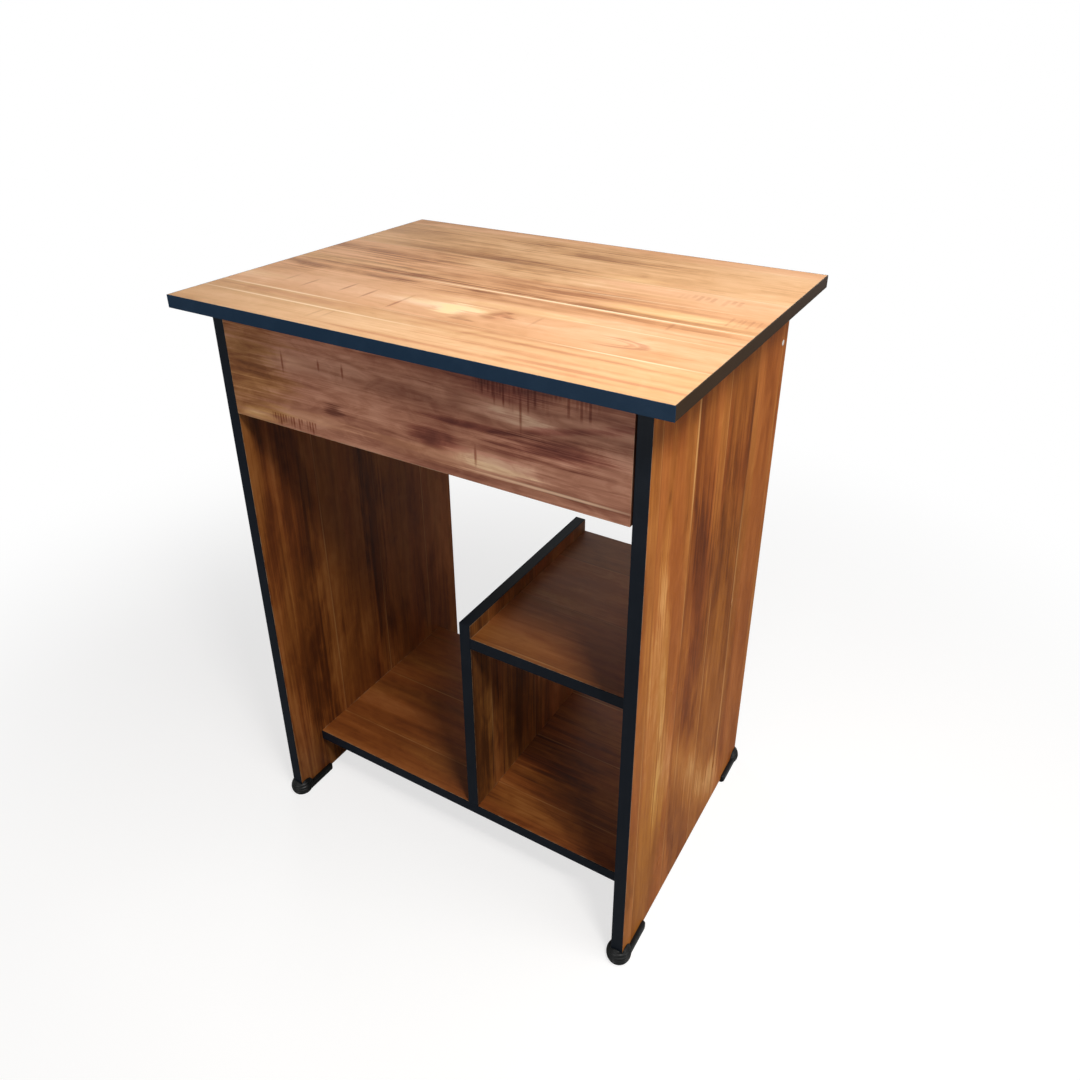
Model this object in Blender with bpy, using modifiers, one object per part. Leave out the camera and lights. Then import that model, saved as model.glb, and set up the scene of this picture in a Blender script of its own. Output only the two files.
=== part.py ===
"""A small computer table of laminated board, with a drawer on ball slides.

Metres, +Z up. The floor is at Z = 0 and the middle of the top is over the
origin. +X is the user's right and +Y is the back. Every board is a separate
piece, and so is each edge band, foot, slide member, screw and cam fitting.
"""

import math

import bmesh
import bpy
from mathutils import Vector

# Overall sizes
TABLE_WIDTH = 0.600
TABLE_DEPTH = 0.452
TABLE_HEIGHT = 0.754
BOARD = 0.015
BAND = 0.001
SEAT = 0.0003
OVERRUN = 0.002
WELD = 0.000001
TURN_WELD = 0.00001

# Side panels under the top
SIDE_OVERHANG = 0.031
FRONT_OVERHANG = 0.030
REAR_OVERHANG = 0.030
FOOT_SOLE = 0.004

# Shelves and divider
SHELF_FRONT_SETBACK = 0.0515
SHELF_REAR_SETBACK = 0.0505
KICK_HEIGHT = 0.061
LOWER_BAY_HEIGHT = 0.265
RIGHT_BAY_WIDTH = 0.228
DIVIDER_LIP = 0.019

# Rear rail under the top
RAIL_HEIGHT = 0.120
RAIL_INSET = 0.010

# Drawer box
DRAWER_FRONT_HEIGHT = 0.1235
DRAWER_TOP_GAP = 0.003
DRAWER_END_GAP = 0.0015
DRAWER_PROUD = 0.001
DRAWER_SIDE_DROP = 0.0185
DRAWER_SIDE_RISE = 0.015
DRAWER_SIDE_TAIL = 0.003
DRAWER_REAR_SPACE = 0.048
DRAWER_TRAVEL_SHARE = 0.75
DRAWER_SHEET = 0.004
GROOVE_DEPTH = 0.006
GROOVE_RISE = 0.010

# Ball slides, one on each side of the drawer
SLIDE_SETBACK = 0.002
SLIDE_THICKNESS = 0.010
SLIDE_STEEL = 0.001
CABINET_MEMBER_HEIGHT = 0.027
CABINET_MEMBER_GAP = 0.0010
CABINET_LIP = 0.0010
DRAWER_MEMBER_HEIGHT = 0.018
DRAWER_MEMBER_GAP = 0.0007
BALLS_IN_A_ROW = 8
CAGE_STEEL = 0.0006
CAGE_BACK_GAP = 0.0004
CAGE_ARM_GAP = 0.0013
CAGE_LENGTH_SHARE = 0.5
CAGE_END = 0.012
CAGE_STOP_GAP = 0.0025

# Countersunk screws that hold the slide members
SLIDE_SCREW_HEAD = 0.0060
SLIDE_SCREW_RIM = 0.0004
SLIDE_SCREW_CONE = 0.0020
SLIDE_SCREW_CORE = 0.0030
SLIDE_SCREW_LENGTH = 0.0110
CABINET_SCREW_INSET = 0.040
DRAWER_SCREW_INSET = 0.040

# One-piece connector screws that join the boards
CONNECTOR_HEAD = 0.0100
CONNECTOR_RIM = 0.0010
CONNECTOR_CONE = 0.0020
CONNECTOR_SHANK = 0.0070
CONNECTOR_SHANK_LENGTH = 0.0110
CONNECTOR_CORE = 0.0050
CONNECTOR_LENGTH = 0.0500
SHELF_SCREW_INSET = 0.050
DIVIDER_SCREW_INSET = 0.070

# Cam fittings that pull the side panels to the top
CAM_DIAMETER = 0.0150
CAM_DEPTH = 0.0125
CAM_DROP = 0.034
CAM_INSET = 0.050
BOLT_THREAD = 0.0060
BOLT_THREAD_LENGTH = 0.0100
BOLT_NECK = 0.0050
BOLT_HEAD = 0.0070
BOLT_HEAD_LENGTH = 0.0050

# Shoe-shaped feet on the corners of the side panels
TOE_RADIUS = 0.0155
TOE_MIDDLE = 0.0080
TOE_SETBACK = 0.0075
RIB_PITCH = 0.0040
RIB_GROOVE = 0.0008
RIB_GROOVE_WIDTH = 0.0014
RIB_COUNT = 4
RIB_LOWEST = 0.0060
TAIL_LENGTH = 0.060
TAIL_WALL = 0.0050
TAIL_LIP = 0.0065
TAIL_ROUNDING = 0.0015

# Sides of the round pieces
SCREW_SIDES = 12
CAM_SIDES = 24
TOE_SIDES = 24
BALL_SIDES = 6
BALL_RINGS = 5
TOE_STEPS = 5

# Planes that several pieces share
HALF_WIDTH = TABLE_WIDTH / 2
HALF_DEPTH = TABLE_DEPTH / 2
TOP_UNDERSIDE = TABLE_HEIGHT - BOARD
PANEL_OUTER = HALF_WIDTH - SIDE_OVERHANG
PANEL_INNER = PANEL_OUTER - BOARD
PANEL_MIDDLE = (PANEL_OUTER + PANEL_INNER) / 2
PANEL_FRONT = -HALF_DEPTH + FRONT_OVERHANG
PANEL_REAR = HALF_DEPTH - REAR_OVERHANG
SHELF_FRONT = PANEL_FRONT + SHELF_FRONT_SETBACK
SHELF_REAR = PANEL_REAR - SHELF_REAR_SETBACK
BOTTOM_SHELF_LOW = FOOT_SOLE + KICK_HEIGHT
BOTTOM_SHELF_TOP = BOTTOM_SHELF_LOW + BOARD
MIDDLE_SHELF_LOW = BOTTOM_SHELF_TOP + LOWER_BAY_HEIGHT
MIDDLE_SHELF_TOP = MIDDLE_SHELF_LOW + BOARD
DIVIDER_TOP = MIDDLE_SHELF_TOP + DIVIDER_LIP
DIVIDER_RIGHT = PANEL_INNER - RIGHT_BAY_WIDTH
DIVIDER_LEFT = DIVIDER_RIGHT - BOARD
DIVIDER_MIDDLE = (DIVIDER_LEFT + DIVIDER_RIGHT) / 2
RAIL_REAR = PANEL_REAR - RAIL_INSET
RAIL_FRONT = RAIL_REAR - BOARD
RAIL_LOW = TOP_UNDERSIDE - RAIL_HEIGHT
DRAWER_FRONT_TOP = TOP_UNDERSIDE - DRAWER_TOP_GAP
DRAWER_FRONT_LOW = DRAWER_FRONT_TOP - DRAWER_FRONT_HEIGHT
DRAWER_FACE = PANEL_FRONT - DRAWER_PROUD
DRAWER_FRONT_BACK = DRAWER_FACE + BOARD
DRAWER_OUTER = PANEL_INNER - SLIDE_THICKNESS
DRAWER_INNER = DRAWER_OUTER - BOARD
DRAWER_SIDE_LOW = DRAWER_FRONT_LOW + DRAWER_SIDE_RISE
DRAWER_SIDE_TOP = DRAWER_FRONT_TOP - DRAWER_SIDE_DROP
SHEET_LOW = DRAWER_SIDE_LOW + GROOVE_RISE
SHEET_TOP = SHEET_LOW + DRAWER_SHEET
SLIDE_HEIGHT = (DRAWER_SIDE_LOW + DRAWER_SIDE_TOP) / 2
SLIDE_FRONT = DRAWER_FRONT_BACK + SLIDE_SETBACK
DRAWER_REAR = RAIL_FRONT - DRAWER_REAR_SPACE
SLIDE_REAR = DRAWER_REAR - DRAWER_SIDE_TAIL
SLIDE_LENGTH = SLIDE_REAR - SLIDE_FRONT
DRAWER_TRAVEL = SLIDE_LENGTH * DRAWER_TRAVEL_SHARE
CAGE_LENGTH = SLIDE_LENGTH * CAGE_LENGTH_SHARE
CAGE_FRONT = SLIDE_FRONT + DRAWER_TRAVEL / 2 + CAGE_STOP_GAP
FOOT_SLOT_HALF = BOARD / 2 + SEAT
TOE_TOP = TOE_MIDDLE + TOE_RADIUS
RIB_HIGHEST = RIB_LOWEST + (RIB_COUNT - 1) * RIB_PITCH

# Depths in a slide, from the side panel's face towards the drawer
CAGE_BACK = SEAT + SLIDE_STEEL + CAGE_BACK_GAP
DRAWER_MEMBER_EDGE = CAGE_BACK + CAGE_STEEL + DRAWER_MEMBER_GAP
DRAWER_MEMBER_BACK = SLIDE_THICKNESS - SEAT
CAGE_ARM_END = DRAWER_MEMBER_BACK - SLIDE_STEEL - CAGE_ARM_GAP
BALL_DEPTH = (DRAWER_MEMBER_EDGE + CAGE_ARM_END) / 2

# Heights in a slide, from its middle
OUTER_RACE = CABINET_MEMBER_HEIGHT / 2 - SLIDE_STEEL
INNER_RACE = DRAWER_MEMBER_HEIGHT / 2
BALL_HEIGHT = (OUTER_RACE + INNER_RACE) / 2
BALL_RADIUS = (OUTER_RACE - INNER_RACE) / 2 - SEAT

# Colours and finishes of the plain model
FINISHES = {
    "wood_top": ((0.52, 0.27, 0.11, 1.0), 0.35, 0.0),
    "wood_side": ((0.42, 0.18, 0.07, 1.0), 0.40, 0.0),
    "wood_inside": ((0.33, 0.15, 0.06, 1.0), 0.45, 0.0),
    "wood_drawer": ((0.36, 0.15, 0.08, 1.0), 0.38, 0.0),
    "hardboard": ((0.40, 0.26, 0.15, 1.0), 0.70, 0.0),
    "black_band": ((0.012, 0.018, 0.030, 1.0), 0.40, 0.0),
    "black_plastic": ((0.015, 0.015, 0.016, 1.0), 0.45, 0.0),
    "zinc_steel": ((0.60, 0.60, 0.58, 1.0), 0.35, 1.0),
    "cage_steel": ((0.45, 0.45, 0.44, 1.0), 0.40, 1.0),
    "cam_zinc": ((0.50, 0.50, 0.52, 1.0), 0.45, 1.0),
}

SIDES = (("left", -1), ("right", 1))


def clear_scene():
    """Remove what the new file holds."""
    for thing in list(bpy.data.objects):
        bpy.data.objects.remove(thing, do_unlink=True)


def make_collection(name):
    """Make a collection and link it to the scene."""
    collection = bpy.data.collections.new(name)
    bpy.context.scene.collection.children.link(collection)
    return collection


def finish(name):
    """Return the named Principled material, made at its first use."""
    material = bpy.data.materials.get(name)
    if material is None:
        colour, roughness, metallic = FINISHES[name]
        material = bpy.data.materials.new(name)
        material.use_nodes = True
        shader = material.node_tree.nodes["Principled BSDF"]
        shader.inputs["Base Color"].default_value = colour
        shader.inputs["Roughness"].default_value = roughness
        shader.inputs["Metallic"].default_value = metallic
        material.diffuse_color = colour
    return material


class Bench:
    """Holds the two collections and adds pieces and cutters to them."""

    def __init__(self):
        self.pieces = make_collection("computer_table")
        self.cutters = make_collection("cutters")

    def add(self, name, data, material=None):
        """Link an object as a piece, or as a cutter when it has no material."""
        thing = bpy.data.objects.new(name, data)
        if material is None:
            self.cutters.objects.link(thing)
            thing.display_type = "WIRE"
            thing.hide_render = True
        else:
            self.pieces.objects.link(thing)
            if not data.materials:
                data.materials.append(finish(material))
        return thing

    def box(self, name, low, high, material=None):
        """Add a box between two corners, with its origin at its middle."""
        low, high = Vector(low), Vector(high)
        mesh = bpy.data.meshes.new(name)
        shape = bmesh.new()
        bmesh.ops.create_cube(shape, size=1)
        bmesh.ops.scale(shape, vec=high - low, verts=shape.verts)
        shape.to_mesh(mesh)
        shape.free()
        thing = self.add(name, mesh, material)
        thing.location = (low + high) / 2
        return thing

    def turned(self, name, profile, sides, place, outward, material=None):
        """Turn a profile of (radius, height) about its own Z, aimed outward.

        The profile runs down its outer side, from the top to the bottom.
        """
        mesh = bpy.data.meshes.new(name)
        points = [(radius, 0, height) for radius, height in profile]
        edges = [(i, i + 1) for i in range(len(points) - 1)]
        mesh.from_pydata(points, edges, [])
        thing = self.add(name, mesh, material)
        thing.location = place
        thing.rotation_mode = "QUATERNION"
        thing.rotation_quaternion = Vector((0, 0, 1)).rotation_difference(Vector(outward))
        turn = thing.modifiers.new("turn", "SCREW")
        turn.angle = math.tau
        turn.steps = sides
        turn.render_steps = sides
        turn.use_merge_vertices = True
        turn.merge_threshold = TURN_WELD
        return thing

    def bar(self, name, outline, length, front_face, side, material):
        """Draw an outline out along Y from a point on its front face.

        The outline is in (depth from the face it sits on, height). Depth runs
        towards the middle of the table, so a bar on the right is turned round.
        """
        curve = bpy.data.curves.new(name, "CURVE")
        curve.dimensions = "2D"
        curve.fill_mode = "BOTH"
        curve.extrude = length / 2
        spline = curve.splines.new("POLY")
        spline.points.add(len(outline) - 1)
        for point, (depth, height) in zip(spline.points, outline):
            point.co = (depth, height, 0, 1)
        spline.use_cyclic_u = True
        drawn = self.add(name + "_outline", curve)
        drawn.location = Vector(front_face) + Vector((0, length / 2, 0))
        drawn.rotation_euler = (math.pi / 2, 0, 0 if side < 0 else math.pi)
        bpy.context.view_layer.update()
        mesh = baked_mesh(drawn, name)
        thing = self.add(name, mesh, material)
        thing.matrix_world = drawn.matrix_world
        bpy.data.objects.remove(drawn)
        return thing


def baked_mesh(thing, name):
    """Return a new welded mesh of an object with its modifiers applied."""
    graph = bpy.context.evaluated_depsgraph_get()
    mesh = bpy.data.meshes.new_from_object(thing.evaluated_get(graph))
    mesh.name = name
    shape = bmesh.new()
    shape.from_mesh(mesh)
    bmesh.ops.remove_doubles(shape, verts=shape.verts, dist=WELD)
    shape.to_mesh(mesh)
    shape.free()
    return mesh


def combine(piece, other, operation):
    """Cut or join a piece with another object by an exact Boolean."""
    boolean = piece.modifiers.new(other.name, "BOOLEAN")
    boolean.operation = operation
    boolean.solver = "EXACT"
    boolean.object = other


def cut(pieces, cutter):
    """Cut the same hole in each of the pieces."""
    for piece in pieces:
        combine(piece, cutter, "DIFFERENCE")


def shade_round(thing):
    """Shade a round piece smooth, with its edges left sharp."""
    thing.data.shade_smooth()
    thing.data.set_sharp_from_angle(angle=math.radians(35))


def make_top(bench):
    """Make the top board and the four bands on its edges."""
    low, high = TOP_UNDERSIDE + SEAT, TABLE_HEIGHT
    core_x, core_y = HALF_WIDTH - BAND, HALF_DEPTH - BAND
    top = bench.box("table_top", (-core_x, -core_y, low), (core_x, core_y, high), "wood_top")
    band = BAND - SEAT
    for name, way in (("front", -1), ("rear", 1)):
        outer, inner = way * HALF_DEPTH, way * (HALF_DEPTH - band)
        bench.box(
            f"top_band_{name}",
            (-HALF_WIDTH, min(outer, inner), low),
            (HALF_WIDTH, max(outer, inner), high),
            "black_band",
        )
    for name, way in SIDES:
        outer, inner = way * HALF_WIDTH, way * (HALF_WIDTH - band)
        bench.box(
            f"top_band_{name}",
            (min(outer, inner), -core_y, low),
            (max(outer, inner), core_y, high),
            "black_band",
        )
    return top


def make_side_panels(bench):
    """Make the two side panels and the bands on their front edges."""
    panels = {}
    for name, way in SIDES:
        left, right = sorted((way * PANEL_INNER, way * PANEL_OUTER))
        panels[name] = bench.box(
            f"side_panel_{name}",
            (left, PANEL_FRONT + BAND, FOOT_SOLE),
            (right, PANEL_REAR, TOP_UNDERSIDE),
            "wood_side",
        )
        bench.box(
            f"side_band_{name}",
            (left, PANEL_FRONT, FOOT_SOLE),
            (right, PANEL_FRONT + BAND - SEAT, TOP_UNDERSIDE),
            "black_band",
        )
    return panels


def make_shelf(bench, name, left, low):
    """Make a shelf from a left face to the right panel, with its front band."""
    left_end, right_end = left + SEAT, PANEL_INNER - SEAT
    shelf = bench.box(
        name,
        (left_end, SHELF_FRONT + BAND, low),
        (right_end, SHELF_REAR, low + BOARD),
        "wood_inside",
    )
    bench.box(
        f"{name}_band",
        (left_end, SHELF_FRONT, low),
        (right_end, SHELF_FRONT + BAND - SEAT, low + BOARD),
        "black_band",
    )
    return shelf


def make_divider(bench):
    """Make the upright divider with its front band and its top band."""
    low = BOTTOM_SHELF_TOP + SEAT
    core_top = DIVIDER_TOP - BAND
    divider = bench.box(
        "divider",
        (DIVIDER_LEFT, SHELF_FRONT + BAND, low),
        (DIVIDER_RIGHT, SHELF_REAR, core_top),
        "wood_inside",
    )
    bench.box(
        "divider_band_front",
        (DIVIDER_LEFT, SHELF_FRONT, low),
        (DIVIDER_RIGHT, SHELF_FRONT + BAND - SEAT, core_top),
        "black_band",
    )
    bench.box(
        "divider_band_top",
        (DIVIDER_LEFT, SHELF_FRONT, core_top + SEAT),
        (DIVIDER_RIGHT, SHELF_REAR, DIVIDER_TOP),
        "black_band",
    )
    return divider


def make_rear_rail(bench):
    """Make the rail that braces the side panels at the back."""
    reach = PANEL_INNER - SEAT
    return bench.box(
        "rear_rail",
        (-reach, RAIL_FRONT, RAIL_LOW),
        (reach, RAIL_REAR, TOP_UNDERSIDE),
        "wood_inside",
    )


def make_drawer(bench):
    """Make the drawer front, sides, back and the sheet in their grooves."""
    end = PANEL_INNER - DRAWER_END_GAP
    front = bench.box(
        "drawer_front",
        (-end, DRAWER_FACE, DRAWER_FRONT_LOW),
        (end, DRAWER_FRONT_BACK, DRAWER_FRONT_TOP),
        "wood_drawer",
    )
    sides = {}
    for name, way in SIDES:
        left, right = sorted((way * DRAWER_INNER, way * DRAWER_OUTER))
        sides[name] = bench.box(
            f"drawer_side_{name}",
            (left, DRAWER_FRONT_BACK + SEAT, DRAWER_SIDE_LOW),
            (right, DRAWER_REAR, DRAWER_SIDE_TOP),
            "wood_inside",
        )
    reach = DRAWER_INNER - SEAT
    bench.box(
        "drawer_back",
        (-reach, DRAWER_REAR - BOARD, SHEET_TOP + SEAT),
        (reach, DRAWER_REAR, DRAWER_SIDE_TOP),
        "wood_inside",
    )
    sheet_x = DRAWER_INNER + GROOVE_DEPTH
    sheet_front = DRAWER_FRONT_BACK - GROOVE_DEPTH
    bench.box(
        "drawer_bottom",
        (-sheet_x + SEAT, sheet_front + SEAT, SHEET_LOW),
        (sheet_x - SEAT, DRAWER_REAR, SHEET_TOP),
        "hardboard",
    )
    groove = bench.box(
        "drawer_groove",
        (-sheet_x, sheet_front, SHEET_LOW - SEAT),
        (sheet_x, DRAWER_REAR + OVERRUN, SHEET_TOP + SEAT),
    )
    cut([front, *sides.values()], groove)
    return sides


def channel(height, depth, steel, lip=0, facing=1):
    """Return the outline of a channel whose web stands on depth zero.

    Its flanges run to the given depth, and their lips turn in towards the
    middle. Facing is -1 for a channel whose flanges run the other way.
    """
    half = height / 2
    inside = half - steel
    upper = [(0, half), (depth, half)]
    if lip:
        upper += [(depth, inside - lip), (depth - steel, inside - lip), (depth - steel, inside)]
    else:
        upper.append((depth, inside))
    upper.append((steel, inside))
    points = upper[::-1] + [(across, -up) for across, up in upper]
    return [(facing * across, up) for across, up in points]


def make_slides(bench):
    """Make both slides: cabinet member, ball cage and drawer member."""
    cabinet_flange = SLIDE_THICKNESS - SEAT - CABINET_MEMBER_GAP
    drawer_flange = DRAWER_MEMBER_BACK - DRAWER_MEMBER_EDGE
    cabinet_outline = channel(CABINET_MEMBER_HEIGHT, cabinet_flange, SLIDE_STEEL, CABINET_LIP)
    drawer_outline = channel(DRAWER_MEMBER_HEIGHT, drawer_flange, SLIDE_STEEL, facing=-1)
    cage_outline = channel(2 * BALL_HEIGHT + CAGE_STEEL, CAGE_ARM_END - CAGE_BACK, CAGE_STEEL)
    members = {}
    for name, way in SIDES:
        face = way * PANEL_INNER
        cabinet = bench.bar(
            f"slide_cabinet_member_{name}",
            cabinet_outline,
            SLIDE_LENGTH,
            (face - way * SEAT, SLIDE_FRONT, SLIDE_HEIGHT),
            way,
            "zinc_steel",
        )
        drawer = bench.bar(
            f"slide_drawer_member_{name}",
            drawer_outline,
            SLIDE_LENGTH,
            (way * DRAWER_OUTER + way * SEAT, SLIDE_FRONT, SLIDE_HEIGHT),
            way,
            "zinc_steel",
        )
        cage = bench.bar(
            f"slide_ball_cage_{name}",
            cage_outline,
            CAGE_LENGTH,
            (face - way * CAGE_BACK, CAGE_FRONT, SLIDE_HEIGHT),
            way,
            "cage_steel",
        )
        combine(cage, make_balls(bench, name, face - way * BALL_DEPTH), "UNION")
        members[name] = (cabinet, drawer)
    return members


def make_balls(bench, name, across):
    """Make the two rows of balls that one cage carries."""
    mesh = bpy.data.meshes.new(f"balls_{name}")
    shape = bmesh.new()
    pitch = (CAGE_LENGTH - 2 * CAGE_END) / (BALLS_IN_A_ROW - 1)
    for height in (SLIDE_HEIGHT - BALL_HEIGHT, SLIDE_HEIGHT + BALL_HEIGHT):
        for i in range(BALLS_IN_A_ROW):
            ball = bmesh.ops.create_uvsphere(
                shape, u_segments=BALL_SIDES, v_segments=BALL_RINGS, radius=BALL_RADIUS
            )
            centre = (across, CAGE_FRONT + CAGE_END + i * pitch, height)
            bmesh.ops.translate(shape, vec=centre, verts=ball["verts"])
    shape.to_mesh(mesh)
    shape.free()
    return bench.add(f"balls_{name}", mesh)


def countersunk(head, rim, cone, core, length, grow=0, above=0):
    """Return the profile of a countersunk screw, or of the hole for it."""
    return [
        (0, above),
        (head / 2 + grow, above),
        (head / 2 + grow, -rim - grow),
        (core / 2 + grow, -cone - grow),
        (core / 2 + grow, -length - grow),
        (0, -length - grow),
    ]


def add_slide_screw(bench, name, place, outward, pieces):
    """Add a screw whose head is flush with a slide member, and its hole."""
    sizes = (SLIDE_SCREW_HEAD, SLIDE_SCREW_RIM, SLIDE_SCREW_CONE, SLIDE_SCREW_CORE, SLIDE_SCREW_LENGTH)
    screw = bench.turned(name, countersunk(*sizes), SCREW_SIDES, place, outward, "zinc_steel")
    hole = bench.turned(
        f"{name}_hole", countersunk(*sizes, grow=SEAT, above=OVERRUN / 2), SCREW_SIDES, place, outward
    )
    shade_round(screw)
    cut(pieces, hole)


def make_slide_screws(bench, panels, drawer_sides, members):
    """Screw the cabinet members to the panels, the others to the drawer."""
    for name, way in SIDES:
        cabinet, drawer = members[name]
        web = way * (PANEL_INNER - SEAT - SLIDE_STEEL)
        drawer_web = way * (DRAWER_OUTER + SEAT + SLIDE_STEEL)
        ends = (("front", SLIDE_FRONT, 1), ("rear", SLIDE_REAR, -1))
        for end, start, step in ends:
            add_slide_screw(
                bench,
                f"cabinet_screw_{name}_{end}",
                (web, start + step * CABINET_SCREW_INSET, SLIDE_HEIGHT),
                (-way, 0, 0),
                [cabinet, panels[name]],
            )
            add_slide_screw(
                bench,
                f"drawer_screw_{name}_{end}",
                (drawer_web, start + step * DRAWER_SCREW_INSET, SLIDE_HEIGHT),
                (way, 0, 0),
                [drawer, drawer_sides[name]],
            )


def connector(grow=0, above=0):
    """Return the profile of a connector screw, or of the hole for it."""
    head, shank, core = CONNECTOR_HEAD / 2, CONNECTOR_SHANK / 2, CONNECTOR_CORE / 2
    return [
        (0, above),
        (head + grow, above),
        (head + grow, -CONNECTOR_RIM - grow),
        (shank + grow, -CONNECTOR_RIM - CONNECTOR_CONE - grow),
        (shank + grow, -CONNECTOR_SHANK_LENGTH - grow),
        (core + grow, -CONNECTOR_SHANK_LENGTH - grow),
        (core + grow, -CONNECTOR_LENGTH - grow),
        (0, -CONNECTOR_LENGTH - grow),
    ]


def add_connector(bench, name, place, outward, pieces):
    """Add a connector screw with its head on a face, and its hole."""
    sunk = Vector(place) - SEAT * Vector(outward)
    screw = bench.turned(name, connector(), SCREW_SIDES, sunk, outward, "zinc_steel")
    hole = bench.turned(f"{name}_hole", connector(SEAT, OVERRUN), SCREW_SIDES, sunk, outward)
    shade_round(screw)
    cut(pieces, hole)


def make_connectors(bench, panels, boards):
    """Join the shelves, the divider and the rail with connector screws."""
    ends = (
        ("front", SHELF_FRONT + SHELF_SCREW_INSET),
        ("rear", SHELF_REAR - SHELF_SCREW_INSET),
    )
    bottom_height = BOTTOM_SHELF_LOW + BOARD / 2
    middle_height = MIDDLE_SHELF_LOW + BOARD / 2
    for end, along in ends:
        for name, way in SIDES:
            add_connector(
                bench,
                f"bottom_shelf_screw_{name}_{end}",
                (way * PANEL_OUTER, along, bottom_height),
                (way, 0, 0),
                [panels[name], boards["bottom"]],
            )
        add_connector(
            bench,
            f"middle_shelf_screw_right_{end}",
            (PANEL_OUTER, along, middle_height),
            (1, 0, 0),
            [panels["right"], boards["middle"]],
        )
        add_connector(
            bench,
            f"middle_shelf_screw_left_{end}",
            (DIVIDER_LEFT, along, middle_height),
            (-1, 0, 0),
            [boards["divider"], boards["middle"]],
        )
    for end, along in (
        ("front", SHELF_FRONT + DIVIDER_SCREW_INSET),
        ("rear", SHELF_REAR - DIVIDER_SCREW_INSET),
    ):
        add_connector(
            bench,
            f"divider_screw_{end}",
            (DIVIDER_MIDDLE, along, BOTTOM_SHELF_LOW),
            (0, 0, -1),
            [boards["bottom"], boards["divider"]],
        )
    for name, way in SIDES:
        add_connector(
            bench,
            f"rail_screw_{name}",
            (way * PANEL_OUTER, (RAIL_FRONT + RAIL_REAR) / 2, (RAIL_LOW + TOP_UNDERSIDE) / 2),
            (way, 0, 0),
            [panels[name], boards["rail"]],
        )


def cam_bolt():
    """Return the profile of a cam bolt, its thread up and its head down."""
    thread, neck, head = BOLT_THREAD / 2, BOLT_NECK / 2, BOLT_HEAD / 2
    low = -CAM_DROP - BOLT_HEAD_LENGTH / 2
    return [
        (0, BOLT_THREAD_LENGTH),
        (thread, BOLT_THREAD_LENGTH),
        (thread, 0),
        (neck, 0),
        (neck, low + BOLT_HEAD_LENGTH),
        (head, low + BOLT_HEAD_LENGTH),
        (head, low),
        (0, low),
    ]


def cam_bolt_hole():
    """Return the profile of the hole for a cam bolt."""
    thread, head = BOLT_THREAD / 2 + SEAT, BOLT_HEAD / 2 + SEAT
    low = -CAM_DROP - BOLT_HEAD_LENGTH / 2 - SEAT
    return [
        (0, BOLT_THREAD_LENGTH + SEAT),
        (thread, BOLT_THREAD_LENGTH + SEAT),
        (thread, SEAT),
        (head, SEAT),
        (head, low),
        (0, low),
    ]


def cam_disc(grow=0, above=0):
    """Return the profile of a cam, or of the pocket for it."""
    radius = CAM_DIAMETER / 2 - SEAT + grow
    depth = CAM_DEPTH - SEAT + grow
    return [(0, above), (radius, above), (radius, -depth), (0, -depth)]


def make_cams(bench, top, panels):
    """Put two cam fittings in each side panel, with their bolts in the top."""
    ends = (("front", PANEL_FRONT + CAM_INSET), ("rear", PANEL_REAR - CAM_INSET))
    for name, way in SIDES:
        for end, along in ends:
            spot = f"{name}_{end}"
            bolt_place = (way * PANEL_MIDDLE, along, TOP_UNDERSIDE)
            bolt = bench.turned(
                f"cam_bolt_{spot}", cam_bolt(), SCREW_SIDES, bolt_place, (0, 0, 1), "zinc_steel"
            )
            bolt_hole = bench.turned(
                f"cam_bolt_{spot}_hole", cam_bolt_hole(), SCREW_SIDES, bolt_place, (0, 0, 1)
            )
            cam_place = (way * (PANEL_INNER + SEAT), along, TOP_UNDERSIDE - CAM_DROP)
            cam = bench.turned(
                f"cam_lock_{spot}", cam_disc(), CAM_SIDES, cam_place, (-way, 0, 0), "cam_zinc"
            )
            pocket = bench.turned(
                f"cam_lock_{spot}_pocket", cam_disc(SEAT, OVERRUN), CAM_SIDES, cam_place, (-way, 0, 0)
            )
            shade_round(bolt)
            shade_round(cam)
            cut([panels[name]], pocket)
            cut([top, panels[name], cam], bolt_hole)


def toe_radius(height):
    """Return the radius of a foot's round toe at a height."""
    return math.sqrt(TOE_RADIUS**2 - (height - TOE_MIDDLE) ** 2)


def toe_profile():
    """Return the profile of a foot's toe: a ball with ribs, flat below."""
    points = [(0, TOE_TOP)]
    first = RIB_HIGHEST + RIB_GROOVE_WIDTH / 2
    for i in range(1, TOE_STEPS):
        share = i / TOE_STEPS
        height = TOE_TOP - (TOE_TOP - first) * share * share
        points.append((toe_radius(height), height))
    for i in range(RIB_COUNT):
        height = RIB_HIGHEST - i * RIB_PITCH
        for step, depth in ((1, 0), (0, RIB_GROOVE), (-1, 0)):
            level = height + step * RIB_GROOVE_WIDTH / 2
            points.append((toe_radius(level) - depth, level))
    points.append((toe_radius(RIB_LOWEST / 2), RIB_LOWEST / 2))
    points.append((toe_radius(0), 0))
    points.append((0, 0))
    return points


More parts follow.
